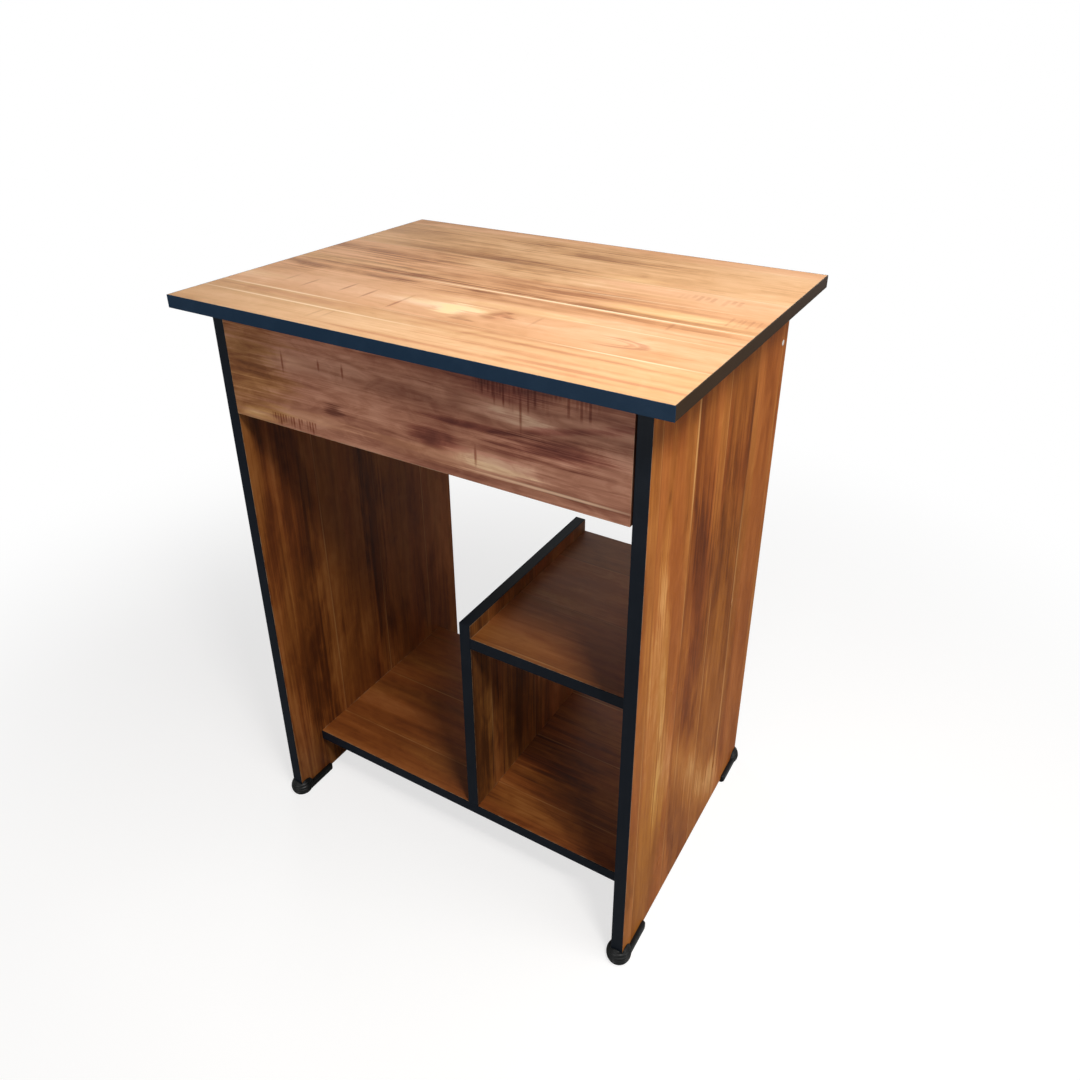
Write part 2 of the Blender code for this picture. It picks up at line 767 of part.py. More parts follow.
def make_feet(bench):
    """Make a foot once, with its toe to -Y, and set it on four corners."""
    toe = bench.turned("toe", toe_profile(), TOE_SIDES, (0, TOE_SETBACK, 0), (0, 0, 1))
    tail_half = FOOT_SLOT_HALF + TAIL_WALL
    tail = bench.box(
        "tail", (-tail_half, TOE_SETBACK, 0), (tail_half, TAIL_LENGTH, FOOT_SOLE + TAIL_LIP)
    )
    rounding = tail.modifiers.new("rounding", "BEVEL")
    rounding.width = TAIL_ROUNDING
    rounding.segments = 2
    rounding.limit_method = "ANGLE"
    slot = bench.box(
        "slot",
        (-FOOT_SLOT_HALF, -SEAT, FOOT_SOLE - SEAT),
        (FOOT_SLOT_HALF, TAIL_LENGTH + OVERRUN, TOE_TOP + OVERRUN),
    )
    combine(toe, tail, "UNION")
    combine(toe, slot, "DIFFERENCE")
    bpy.context.view_layer.update()
    mesh = baked_mesh(toe, "foot")
    for helper in (toe, tail, slot):
        bpy.data.objects.remove(helper)
    for name, way in SIDES:
        for end, edge, turn in (("front", PANEL_FRONT, 0), ("rear", PANEL_REAR, math.pi)):
            foot = bench.add(f"foot_{name}_{end}", mesh, "black_plastic")
            foot.location = (way * PANEL_MIDDLE, edge, 0)
            foot.rotation_euler = (0, 0, turn)
            shade_round(foot)


def main():
    """Build the table."""
    clear_scene()
    bench = Bench()
    top = make_top(bench)
    panels = make_side_panels(bench)
    boards = {
        "bottom": make_shelf(bench, "bottom_shelf", -PANEL_INNER, BOTTOM_SHELF_LOW),
        "middle": make_shelf(bench, "middle_shelf", DIVIDER_RIGHT, MIDDLE_SHELF_LOW),
        "divider": make_divider(bench),
        "rail": make_rear_rail(bench),
    }
    drawer_sides = make_drawer(bench)
    members = make_slides(bench)
    make_slide_screws(bench, panels, drawer_sides, members)
    make_connectors(bench, panels, boards)
    make_cams(bench, top, panels)
    make_feet(bench)


main()
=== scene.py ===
"""Looks of a small computer table with a drawer and shoe-shaped feet.

Its boards are plank-printed laminate with blue-black edge tape. Each class
below builds and dresses the pieces of one sub-assembly, and each finish is a
small frozen class that paints one material. Lengths are in metres in the
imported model's frame, where +X is the user's right and +Y the back. Only the
profiles of turned pieces are in millimetres.
"""

from __future__ import annotations

import logging
import math
from dataclasses import dataclass, field
from enum import Enum
from typing import Sequence, Union

import bmesh
import bpy
import numpy as np
from mathutils import Matrix, Vector

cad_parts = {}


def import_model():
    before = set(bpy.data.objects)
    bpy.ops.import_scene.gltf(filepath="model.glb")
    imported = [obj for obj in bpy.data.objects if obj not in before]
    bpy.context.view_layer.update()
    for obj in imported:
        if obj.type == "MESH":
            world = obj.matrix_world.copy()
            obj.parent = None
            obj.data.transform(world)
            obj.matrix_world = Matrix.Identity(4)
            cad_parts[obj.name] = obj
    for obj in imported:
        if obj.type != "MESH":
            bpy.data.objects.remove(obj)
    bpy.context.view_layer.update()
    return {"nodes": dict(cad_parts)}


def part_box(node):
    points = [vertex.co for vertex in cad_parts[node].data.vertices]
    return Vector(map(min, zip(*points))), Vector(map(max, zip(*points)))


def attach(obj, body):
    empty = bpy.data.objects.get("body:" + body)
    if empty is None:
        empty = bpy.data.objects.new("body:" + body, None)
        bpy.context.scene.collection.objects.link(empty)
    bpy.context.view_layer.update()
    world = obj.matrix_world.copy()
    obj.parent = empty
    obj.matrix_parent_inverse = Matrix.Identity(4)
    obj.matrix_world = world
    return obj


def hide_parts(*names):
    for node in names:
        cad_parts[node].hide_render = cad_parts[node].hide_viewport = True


LOG = logging.getLogger("computer_table")
MM = 0.001
SIDES = (("left", -1), ("right", 1))
ENDS = ("front", "rear")
Triple = tuple[float, float, float]
Row = tuple[float, ...]
Inputs = dict[Union[int, str], object]


class Axis(Enum):
    """An axis of the table's frame."""

    X = 0
    Y = 1
    Z = 2


class Body(Enum):
    """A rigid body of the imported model, on which pieces ride."""

    CARCASS = "carcass"
    DRAWER = "drawer"
    CAGE_LEFT = "ball_cage_left"
    CAGE_RIGHT = "ball_cage_right"


class Slot(Enum):
    """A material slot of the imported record, for the pieces made here."""

    SIDE = "wood_side"
    INSIDE = "wood_inside"
    TAPE = "black_band"
    PLASTIC = "black_plastic"
    ZINC = "zinc_steel"
    CAGE = "cage_steel"
    CAST = "cam_zinc"


class Blot(Enum):
    """What a mark does to the print under it. Most marks are print; some dark, fair and pale marks are
    painted shade and painted light, as the tables of marks say.
    """

    DARK = "dark"
    RED = "red"
    PALE = "pale"
    FAIR = "fair"
    KNOT = "knot"
    LINE = "line"
    GOLD = "gold"
    TICK = "tick"
    RING = "ring"


class Wire:
    """A value in a node tree, with which sums are written plainly."""

    def __init__(self, graph: Graph, socket: bpy.types.NodeSocket) -> None:
        """Hold a socket of a graph."""
        self.graph, self.socket = graph, socket

    def __add__(self, other: Value) -> Wire:
        """Return the sum."""
        return self.graph.sum("ADD", self, other)

    def __sub__(self, other: Value) -> Wire:
        """Return the difference."""
        return self.graph.sum("SUBTRACT", self, other)

    def __rsub__(self, other: float) -> Wire:
        """Return a number less the value."""
        return self.graph.sum("SUBTRACT", other, self)

    def __mul__(self, other: Value) -> Wire:
        """Return the product."""
        return self.graph.sum("MULTIPLY", self, other)

    def __abs__(self) -> Wire:
        """Return the value without its sign."""
        return self.graph.sum("ABSOLUTE", self)


Value = Union[Wire, float]


class Graph:
    """The node tree of a material or of the world, with short calls for its nodes."""

    def __init__(self, owner: bpy.types.Material | bpy.types.World) -> None:
        """Start with the owner's node tree emptied."""
        owner.use_nodes = True
        self.owner, self.tree = owner, owner.node_tree
        self.tree.nodes.clear()

    def node(self, kind: str, inputs: Inputs, **settings: object) -> bpy.types.Node:
        """Add a node.

        Args:
            kind: the node's type, without its ShaderNode prefix.
            inputs: numbers, colours or wires, by the input's number or name.
            settings: the node's own properties.

        Returns:
            The new node.
        """
        made = self.tree.nodes.new("ShaderNode" + kind)
        for key, value in settings.items():
            setattr(made, key, value)
        for key, value in inputs.items():
            socket = made.inputs[key]
            if isinstance(value, Wire):
                self.tree.links.new(value.socket, socket)
            elif isinstance(value, tuple) and socket.type == "RGBA":
                socket.default_value = (*value, 1.0)
            else:
                socket.default_value = value
        return made

    def wire(self, kind: str, inputs: Inputs, output: int | str = 0, **settings: object) -> Wire:
        """Add a node as node() does, and return one of its outputs."""
        return Wire(self, self.node(kind, inputs, **settings).outputs[output])

    def sum(self, operation: str, *terms: Value, clamp: bool = False) -> Wire:
        """Return a Math node's result, held between 0 and 1 where clamp is set."""
        return self.wire("Math", dict(enumerate(terms)), operation=operation, use_clamp=clamp)

    def most(self, a: Value, b: Value) -> Wire:
        """Return the larger of two values."""
        return self.sum("MAXIMUM", a, b)

    def vector(self, *parts: Value) -> Wire:
        """Return a vector of three values."""
        return self.wire("CombineXYZ", dict(enumerate(parts)))

    def parts(self, vector: Wire) -> list[Wire]:
        """Return the three values of a vector."""
        return [Wire(self, output) for output in self.node("SeparateXYZ", {0: vector}).outputs]

    def place(self) -> list[Wire]:
        """Return X, Y and Z of the shaded point in the table's frame."""
        return self.parts(self.wire("TexCoord", {}, "Object"))

    def noise(self, parts: Sequence[Value], scale: float = 1.0, *grit: float) -> Wire:
        """Return a noise of about 0.5 on average.

        Args:
            parts: the point's three values.
            scale: what they are multiplied by.
            grit: the octaves, how much of each finer octave is kept, and how
                far the pattern is distorted, where they aren't 2, 0.5 and 0.

        Returns:
            The noise.
        """
        place = self.vector(*(parts if scale == 1.0 else (part * scale for part in parts)))
        plain = {"Detail": 2.0, "Roughness": 0.5, "Distortion": 0.0}
        return self.wire("TexNoise", {"Vector": place, "Scale": 1.0, **plain, **dict(zip(plain, grit))})

    def chance(self, value: Value) -> Wire:
        """Return a random value from 0 to 1 for each whole number."""
        return self.wire("TexWhiteNoise", {"W": value}, noise_dimensions="1D")

    def spread(self, value: Value, low: float, high: float, kind: str = "SMOOTHSTEP") -> Wire:
        """Map low to 0 and high to 1, held between them."""
        inputs = {"Value": value, "From Min": low, "From Max": high}
        return self.wire("MapRange", inputs, interpolation_type=kind)

    def ramp(self, value: Wire, places: Row, colours: Sequence[Triple]) -> Wire:
        """Return the colour of a value from 0 to 1, between colours at set places."""
        made = self.node("ValToRGB", {0: value})
        stops = made.color_ramp.elements
        while len(stops) < len(places):
            stops.new(1.0)
        for stop, place, colour in zip(stops, places, colours):
            stop.position, stop.color = place, (*colour, 1.0)
        return Wire(self, made.outputs[0])

    def blend(self, share: Value, under: object, over: object, mode: str = "MIX") -> Wire:
        """Lay one colour over another by a share from 0 to 1."""
        return self.wire("Mix", {0: share, 6: under, 7: over}, 2, data_type="RGBA", blend_type=mode)

    def bump(self, height: Wire, distance: float) -> Wire:
        """Return the normal of a height from 0 to 1 over a distance."""
        return self.wire("Bump", {"Strength": 1.0, "Distance": distance, "Height": height})

    def shader(self, colour: Wire, roughness: Wire, normal: Wire, **plain: float) -> bpy.types.Material:
        """Finish the material with its shader.

        Args:
            colour: the base colour.
            roughness: the roughness.
            normal: the bumped normal.
            plain: even values, by socket name with underscores for spaces.

        Returns:
            The material.
        """
        inputs = {"Base Color": colour, "Roughness": roughness, "Normal": normal}
        inputs |= {key.replace("_", " "): value for key, value in plain.items()}
        self.node("OutputMaterial", {0: self.wire("BsdfPrincipled", inputs)})
        return self.owner


@dataclass(frozen=True)
class Mark:
    """A soft oval mark in a plank print. Most are features of the print; some are patches of painted shade
    and painted light.
    """

    blot: Blot
    along: float  # where its middle is along the grain
    across: float  # where its middle is across the grain
    reach: float  # half its length along the grain
    width: float  # half its width across the grain
    strength: float  # from 0 to 1
    tilt: float = 0.0  # how far it climbs across the grain for each metre along it


@dataclass(frozen=True)
class Comb:
    """A row of short dark saw ticks across the grain."""

    start: float  # where the row starts along the grain
    end: float  # where it ends along the grain
    root: float  # the edge across the grain from which the ticks run
    length: float  # the longest tick
    pitch: float  # the step from tick to tick
    strength: float  # how dark they are, from 0 to 1


@dataclass(frozen=True)
class Figure:
    """How strongly each kind of wood figure shows in a print."""

    bands: float = 0.22  # broad bands along the grain
    streaks: float = 0.17  # narrow streaks
    fibres: float = 0.32  # fine fibre lines
    clouds: float = 0.22  # large soft patches
    blotches: float = 0.12  # small uneven patches
    rings: float = 0.14  # the curved contours of flat-sawn wood
    plum: float = 0.75  # how far some zones turn to a redder brown
    planks: float = 0.14  # how much planks differ from each other
    joints: float = 0.45  # how clear the pale joint lines are


PLAIN = Figure()
SOFT = Figure(0.14, 0.20, 0.28, 0.26, 0.09, 0.08, 0.40, 0.10, 0.25)
STRONG = Figure(0.18, 0.15, 0.30, 0.30, 0.14, 0.14, 0.65, 0.10, 0.20)
EVEN = Figure(0.13, 0.09, 0.20, 0.22, 0.08, 0.05, 0.60, 0.09, 0.45)
CALM = Figure(0.20, 0.10, 0.20, 0.24, 0.10, 0.06, 0.60, 0.12, 0.45)

# Noises drawn out along the grain: length and width of their features, then the grit.
BANDS = (0.60, 0.026, 2.0, 0.50)
STREAKS = (0.26, 0.0060, 3.0, 0.60, 0.4)
FIBRES = (0.075, 0.0013, 3.0, 0.65)
CLOUDS = (0.17, 0.055, 3.0, 0.55, 0.6)
BLOTCHES = (0.032, 0.013, 3.0, 0.60, 1.0)
CONTOURS = (0.55, 0.080, 1.0, 0.4)
HUES = (0.34, 0.040, 1.0, 0.5)
PORES = (0.030, 0.00055, 2.0, 0.6)

# The colours of each print, from its darkest streaks up, and where they stand on its ramp.
TONE_PLACES = (0.05, 0.30, 0.52, 0.76, 1.00)
GOLDEN = (
    (0.25, 0.095, 0.03), (0.5, 0.252, 0.102), (0.68, 0.38, 0.178), (0.81, 0.5, 0.27), (0.96, 0.72, 0.47),
)
ORANGE = (
    (0.096, 0.0235, 0.004), (0.225, 0.06, 0.009), (0.37, 0.118, 0.02), (0.52, 0.194, 0.041),
    (0.74, 0.385, 0.135),
)
AMBER = (
    (0.088, 0.029, 0.0075), (0.215, 0.077, 0.016), (0.357, 0.15, 0.033), (0.505, 0.238, 0.066),
    (0.74, 0.45, 0.19),
)
# These are the orange tones darkened by about a sixth, for the boards inside: painted shade.
SHADED_BROWN = (
    (0.08, 0.0195, 0.0043), (0.18, 0.0515, 0.0096), (0.3, 0.099, 0.019), (0.43, 0.167, 0.0435),
    (0.64, 0.35, 0.138),
)
ROSY = (
    (0.098, 0.026, 0.016), (0.264, 0.094, 0.055), (0.442, 0.194, 0.118), (0.63, 0.324, 0.215),
    (0.88, 0.61, 0.405),
)
CHIP_PLACES = (0.15, 0.40, 0.65, 0.95)
CHIPS = ((0.12, 0.07, 0.034), (0.33, 0.205, 0.105), (0.47, 0.32, 0.18), (0.64, 0.5, 0.33))
LIFTS = {Blot.DARK: -0.46, Blot.RED: -0.22, Blot.PALE: 0.50, Blot.FAIR: 0.50, Blot.KNOT: -0.30}
PLUM = (0.98, 0.80, 0.86)
GILT = (0.97, 1.00, 0.60)
TICK_TINT = (0.52, 0.33, 0.27)
ARRIS_PALE = (0.52, 0.38, 0.24)
FRONT_EDGE = (0.15, 0.062, 0.034)
HARDBOARD_SHADE = (0.72, 0.66, 0.60)


@dataclass(frozen=True)
class PlankPrint:
    """Printed laminate that looks like planks laid side by side."""

    name: str
    tones: tuple[Triple, ...]
    axes: tuple[Axis, Axis, Axis]  # along the grain, across the planks and through the board
    joint: float  # where one joint of two planks lies on the across axis
    pitch: float  # the width of a plank
    seed: float  # shifts the pattern, so that no two boards are alike
    figure: Figure = PLAIN
    marks: dict[Blot, Sequence[Row]] = field(default_factory=dict)  # rows of Mark's numbers
    combs: tuple[Comb, ...] = ()
    edge: Triple | None = None  # the colour of the board's own edges, or None for raw chipboard
    specular: float = 0.20

    def paint(self, low: Vector, high: Vector) -> bpy.types.Material:
        """Make the material for one board.

        Args:
            low: the board's lowest corner.
            high: the board's highest corner.

        Returns:
            The material.
        """
        g = Graph(bpy.data.materials.new(self.name))
        point = g.place()
        along, across, depth = (point[axis.value] for axis in self.axes)
        row = (across - self.joint) * (1 / self.pitch)
        luck = g.chance(g.sum("FLOOR", row) + self.seed)
        layer = depth * 90.0 + luck * 37.0
        shifted = along + luck * 5.3
        wave = g.noise((shifted * 2.6, across * 9.0, layer))
        bent = across + (wave - 0.5) * 0.016

        def streak(length: float, width: float, *grit: float) -> Wire:
            """Return noise drawn out along the grain, of features of that length and width."""
            return g.noise((shifted * (1 / length), bent * (1 / width), layer), 1.0, *grit)

        figure = self.figure
        streaks = g.spread(streak(*STREAKS), 0.28, 0.72)
        fibres = streak(*FIBRES)
        clouds = g.spread(streak(*CLOUDS), 0.30, 0.70)
        contour = g.sum("PINGPONG", streak(*CONTOURS) * 11.0, 0.5)
        rings = g.spread(contour, 0.16, 0.0) * g.spread(clouds, 0.35, 0.75)
        layers = (
            (g.spread(streak(*BANDS), 0.30, 0.70), figure.bands),
            (streaks, figure.streaks),
            (fibres, figure.fibres),
            (clouds, figure.clouds),
            (g.spread(streak(*BLOTCHES), 0.30, 0.70), figure.blotches),
            (luck, figure.planks),
        )
        tone = rings * -figure.rings + 0.52
        for value, weight in layers:
            tone = tone + (value - 0.5) * weight
        stains_and_painted_light: dict[Blot, Value] = {blot: 0.0 for blot in Blot}
        # Some dark, fair and pale marks are painted shade and painted light: they lower or raise the tone
        # here, and the pale ones, a painted highlight among them, also tint the colour towards gilt.
        for mark in (Mark(blot, *numbers) for blot, rows in self.marks.items() for numbers in rows):
            oval = self.oval(g, mark, along, across, (streaks, clouds, fibres))
            stains_and_painted_light[mark.blot] = g.most(stains_and_painted_light[mark.blot], oval)
            if mark.blot in LIFTS:
                tone = tone + oval * LIFTS[mark.blot]
        colour = g.ramp(g.most(tone, 0.0), TONE_PLACES, self.tones)
        hue = streak(*HUES) * 0.7 + luck * 0.3
        plum = g.most(g.spread(hue, 0.44, 0.58) * figure.plum, stains_and_painted_light[Blot.RED])
        gold = g.most(stains_and_painted_light[Blot.GOLD], stains_and_painted_light[Blot.PALE] * 0.5)
        colour = g.blend(g.sum("SUBTRACT", plum, gold, clamp=True), colour, PLUM, "MULTIPLY")
        colour = g.blend(gold, colour, GILT, "MULTIPLY")
        colour = g.blend(stains_and_painted_light[Blot.KNOT] * 0.85, colour, self.tones[0])
        cuts = g.most(stains_and_painted_light[Blot.TICK], stains_and_painted_light[Blot.RING] * 0.6)
        for comb in self.combs:
            cuts = g.most(cuts, self.ticks(g, comb, along, across))
        colour = g.blend(cuts, colour, TICK_TINT, "MULTIPLY")
        seam = g.spread(self.joint_distance(g, row - 0.0016 / self.pitch), 0.0013, 0.0004)
        colour = g.blend(seam * 0.40, colour, self.tones[1])
        colour = g.blend(g.most(self.joints(g, row, along), stains_and_painted_light[Blot.LINE]), colour, self.tones[-1])

        rim = self.rim_distance(g, point, low, high)
        scraped = g.spread(rim, 0.0009, 0.0003) * g.spread(g.noise(point, 90.0, 3.0), 0.42, 0.58)
        colour = g.blend(scraped * 0.55, colour, ARRIS_PALE)
        pores = streak(*PORES)
        rough = g.noise(point, 14.0, 3.0, 0.6) * 0.14 + pores * 0.10 + 0.34
        normal = g.bump(pores * 0.7 + fibres * 0.6, 0.00006)

        face = self.axes[2].value
        cut = g.spread(abs(g.parts(g.wire("TexCoord", {}, "Normal"))[face]), 0.75, 0.55)
        core, core_bump = self.core(g, point, depth, (low + high)[face] / 2)
        rough = rough + cut * (0.12 if self.edge else 0.45)
        normal = g.wire("Mix", {0: cut, 4: normal, 5: core_bump}, 1, data_type="VECTOR")
        return g.shader(g.blend(cut, colour, core), rough, normal, Specular_IOR_Level=self.specular)

    def oval(self, g: Graph, mark: Mark, along: Wire, across: Wire, figure: tuple[Wire, Wire, Wire]) -> Wire:
        """Return the mask of a mark: one inside an oval, and soft at its rim.

        The distance is the length of the two offsets, each over its own half
        size, after the tilt is taken out. The figure frays the rim. A ring is
        only the oval's own line, and only on the far half of it.

        Args:
            g: the graph.
            mark: the mark.
            along: the point's place along the grain.
            across: the point's place across the grain.
            figure: the print's streaks, large patches and fibres.

        Returns:
            The mask, times the mark's strength.
        """
        streaks, clouds, fibres = figure
        u = along - mark.along
        v = across - mark.across - u * mark.tilt
        square = g.sum("POWER", u * (1 / mark.reach), 2.0) + g.sum("POWER", v * (1 / mark.width), 2.0)
        straight = mark.blot in (Blot.LINE, Blot.TICK, Blot.RING)
        fray = {Blot.PALE: 1.0, Blot.KNOT: 1.0}.get(mark.blot, 0.10 if straight else 0.75)
        away = g.sum("SQRT", square) + (streaks + clouds - 1.0 + (fibres - 0.5) * 1.5) * fray
        if mark.blot is Blot.RING:
            line = g.spread(abs(away - 1.0), 0.22, 0.05)
            return line * g.spread(u, -0.6 * mark.reach, 0.5 * mark.reach) * mark.strength
        return g.spread(away, 1.40, 0.25) * mark.strength

    def ticks(self, g: Graph, comb: Comb, along: Wire, across: Wire) -> Wire:
        """Return the mask of a comb of ticks.

        Each step along the grain is a column, and a random value gives its
        tick's length, width and strength.

        Args:
            g: the graph.
            comb: the comb.
            along: the point's place along the grain.
            across: the point's place across the grain.

        Returns:
            The mask, times the comb's strength.
        """
        step = along * (1 / comb.pitch)
        column = g.sum("FLOOR", step)
        middle = abs(g.sum("FRACT", step) - 0.5)
        thin = g.spread(middle, 0.48, 0.16) * g.spread(g.chance(column + 3.0), 0.00, 0.60, "LINEAR")
        reach = (g.chance(column + 71.0) * 0.55 + 0.45) * abs(comb.length)
        depth = (across - comb.root) * math.copysign(1.0, comb.length)
        height = g.spread(reach - depth, -0.002, 0.007) * g.spread(depth, -0.001, 0.001)
        inside = g.spread(along, comb.start, comb.start + 0.006) * g.spread(along, comb.end, comb.end - 0.006)
        return thin * height * inside * comb.strength

    def joint_distance(self, g: Graph, row: Wire) -> Wire:
        """Return how far a point is from the nearest joint of two planks."""
        return g.sum("PINGPONG", row, 0.5) * self.pitch

    def joints(self, g: Graph, row: Wire, along: Wire) -> Wire:
        """Return the mask of the pale joint lines, which fade in and out."""
        line = g.spread(self.joint_distance(g, row), 0.0014, 0.0004)
        worn = g.noise((along * 6.0, g.sum("ROUND", row) * 7.7, self.seed))
        return line * g.spread(worn, 0.40, 0.62) * self.figure.joints

    def rim_distance(self, g: Graph, point: Sequence[Wire], low: Vector, high: Vector) -> Wire:
        """Return how far a point on a printed face is from the board's rim."""
        near: Value = 1.0
        for axis in (self.axes[0].value, self.axes[1].value):
            for gap in (point[axis] - low[axis], high[axis] - point[axis]):
                near = g.sum("MINIMUM", near, gap)
        return near

    def core(self, g: Graph, point: Sequence[Wire], depth: Wire, middle: float) -> tuple[Wire, Wire]:
        """Return the colour and the normal of the board's cut edges.

        Chipboard is cells of pressed chips, finer and paler near both faces.

        Args:
            g: the graph.
            point: the shaded point.
            depth: its place through the board's thickness.
            middle: the board's middle plane.

        Returns:
            The colour and the bumped normal.
        """
        grain = g.noise(point, 900.0, 3.0, 0.6)
        if self.edge is not None:
            return g.blend(grain * 0.5, self.edge, tuple(0.6 * c for c in self.edge)), g.bump(grain, 0.00004)
        cells = {"Vector": g.vector(*(part * 420.0 for part in point)), "Scale": 1.0}
        tint = g.parts(g.wire("TexVoronoi", cells, "Color", feature="F1"))[0]
        skin = g.spread(abs(depth - middle), 0.0045, 0.0065)
        share = tint * 0.45 + grain * 0.45 + skin * 0.10
        return g.ramp(share, CHIP_PLACES, CHIPS), g.bump(tint + grain, 0.00025)


# The ways that the boards lie: the axes along the grain, across the planks and through the board.
LEVEL = (Axis.X, Axis.Y, Axis.Z)
UPRIGHT = (Axis.Z, Axis.Y, Axis.X)
CROSSWISE = (Axis.X, Axis.Z, Axis.Y)
BACKWARD = (Axis.Y, Axis.Z, Axis.X)
TOP_TICK = (2.1 * MM, 16.0 * MM)  # half of a saw tick's size along and across the grain
TOP_TICKS = (
    (-0.234, -0.104, 0.35), (-0.2, -0.11, 0.55), (-0.15, -0.102, 0.75), (-0.114, -0.11, 0.75),
    (-0.066, -0.105, 0.4), (-0.066, -0.124, 0.8), (-0.116, -0.19, 0.3), (-0.102, -0.186, 0.25),
    (0.217, -0.045, 0.3), (0.095, -0.101, 0.3),
)
TOP_MARKS = {
    Blot.DARK: (
        (0.02, 0.163, 0.13, 0.022, 0.55), (-0.2, 0.11, 0.2, 0.11, 0.16), (-0.19, 0.044, 0.14, 0.026, 0.42),
        (-0.19, -0.034, 0.12, 0.028, 0.42), (0.08, -0.026, 0.26, 0.005, 0.6),
        (0.12, -0.043, 0.2, 0.005, 0.35), (-0.05, 0.025, 0.19, 0.08, 0.24),
    ),
    Blot.RED: (
        (0.1, -0.05, 0.22, 0.009, 0.45), (0.16, -0.186, 0.15, 0.004, 0.5), (0.15, 0.004, 0.15, 0.01, 0.55),
        (0.1, -0.15, 0.2, 0.006, 0.45), (0.057, -0.103, 0.02, 0.014, 0.9), (0.15, -0.165, 0.15, 0.0035, 0.75),
        (0.2, -0.201, 0.13, 0.003, 0.75), (0.05, -0.212, 0.18, 0.003, 0.6), (0.22, -0.065, 0.1, 0.004, 0.6),
        (-0.18, -0.16, 0.1, 0.006, 0.4),
    ),
    Blot.LINE: (
        (0.09, -0.0335, 0.225, 0.0022, 1.0), (0.14, 0.019, 0.13, 0.0016, 0.45, 0.05),
        (0.19, -0.08, 0.11, 0.0015, 0.5), (-0.205, -0.1465, 0.11, 0.0018, 0.85),
        (0.215, -0.148, 0.09, 0.0017, 0.7), (-0.15, -0.1745, 0.17, 0.0019, 0.85),
    ),
    Blot.PALE: (
        # The first three pale marks, round (-0.006, -0.111), are a painted highlight: a lamp's reflection in
        # the satin top, laid into the print.
        (-0.006, -0.111, 0.016, 0.021, 0.85), (0.012, -0.099, 0.034, 0.009, 0.55),
        (-0.03, -0.102, 0.04, 0.012, 0.35), (0.19, -0.009, 0.065, 0.01, 0.55),
        (0.07, -0.076, 0.11, 0.01, 0.4), (0.11, 0.09, 0.045, 0.012, 0.5),
    ),
    Blot.FAIR: (
        # The wide fair patches at (0.0, -0.195), (0.26, 0.13) and (0.22, -0.11) are painted light, making the
        # top brighter along its front and at its right.
        (0.0, -0.195, 0.3, 0.04, 0.36), (-0.085, -0.108, 0.15, 0.032, 0.4), (0.26, 0.13, 0.1, 0.11, 0.34),
        (0.22, -0.11, 0.13, 0.08, 0.26),
    ),
    Blot.KNOT: (
        (0.049, -0.0985, 0.0085, 0.006, 0.42, 0.4), (0.066, -0.1055, 0.01, 0.0052, 0.44, -0.4),
        (0.045, -0.11, 0.008, 0.006, 0.34), (0.058, -0.093, 0.0045, 0.003, 0.45),
        (0.02, -0.129, 0.011, 0.006, 0.36), (0.034, -0.1325, 0.007, 0.003, 0.4),
    ),
    Blot.RING: ((0.18, -0.116, 0.042, 0.012, 0.9), (0.18, -0.116, 0.03, 0.007, 0.7)),
    Blot.TICK: [(x, y, *TOP_TICK, strength) for x, y, strength in TOP_TICKS],
}
TOP_COMBS = (
    Comb(0.180, 0.258, 0.068, -0.030, 7.5 * MM, 0.35), Comb(0.255, 0.297, 0.012, -0.038, 4.2 * MM, 0.30),
)
RIGHT_MARKS = {
    Blot.RED: (
        (0.61, -0.044, 0.11, 0.04, 0.42), (0.536, 0.068, 0.085, 0.034, 0.6), (0.42, -0.04, 0.16, 0.04, 0.6),
    ),
    Blot.PALE: (
        (0.655, -0.019, 0.04, 0.011, 0.55), (0.286, 0.019, 0.052, 0.006, 0.7),
        (0.56, -0.146, 0.09, 0.012, 0.4), (0.33, -0.145, 0.22, 0.026, 0.48),
    ),
    Blot.GOLD: ((0.11, -0.145, 0.14, 0.05, 0.7), (0.4, 0.05, 0.16, 0.06, 0.5)),
    Blot.FAIR: (
        (0.24, -0.106, 0.085, 0.024, 0.6), (0.19, -0.03, 0.07, 0.036, 0.34, -0.8),
        (0.12, 0.02, 0.08, 0.05, 0.52, -0.8), (0.05, 0.068, 0.07, 0.048, 0.56, -0.8),
        (0.42, -0.15, 0.14, 0.03, 0.24),
    ),
    Blot.DARK: (
        # The wide faint dark patch at (0.66, -0.02), right across the panel's top, is painted shade under the
        # top's overhang.
        (0.11, -0.066, 0.07, 0.017, 0.4), (0.66, -0.02, 0.1, 0.2, 0.12), (0.43, 0.01, 0.2, 0.06, 0.14),
        (0.36, 0.075, 0.1, 0.016, 0.22),
    ),
    Blot.LINE: (
        (0.645, -0.0835, 0.11, 0.0024, 0.8), (0.215, -0.063, 0.06, 0.002, 0.45),
        (0.415, 0.092, 0.11, 0.0026, 0.45), (0.155, 0.0965, 0.125, 0.0028, 0.6),
    ),
    Blot.KNOT: ((0.622, -0.146, 0.012, 0.005, 0.35),),
}
LEFT_MARKS = {
    Blot.DARK: (
        (0.3, 0.013, 0.3, 0.02, 0.6), (0.28, -0.15, 0.34, 0.05, 0.58), (0.12, 0.0, 0.12, 0.16, 0.25),
    ),
    Blot.LINE: ((0.21, -0.09, 0.15, 0.0012, 0.4),),
}
# The bottom shelf's dark patches are painted shade in the dark parts of the bays.
BOTTOM_PAINTED_SHADE = {
    Blot.DARK: (
        (0.12, -0.085, 0.07, 0.05, 0.45), (0.0, 0.0, 0.07, 0.06, 0.35), (0.11, 0.01, 0.06, 0.05, 0.3),
    ),
}
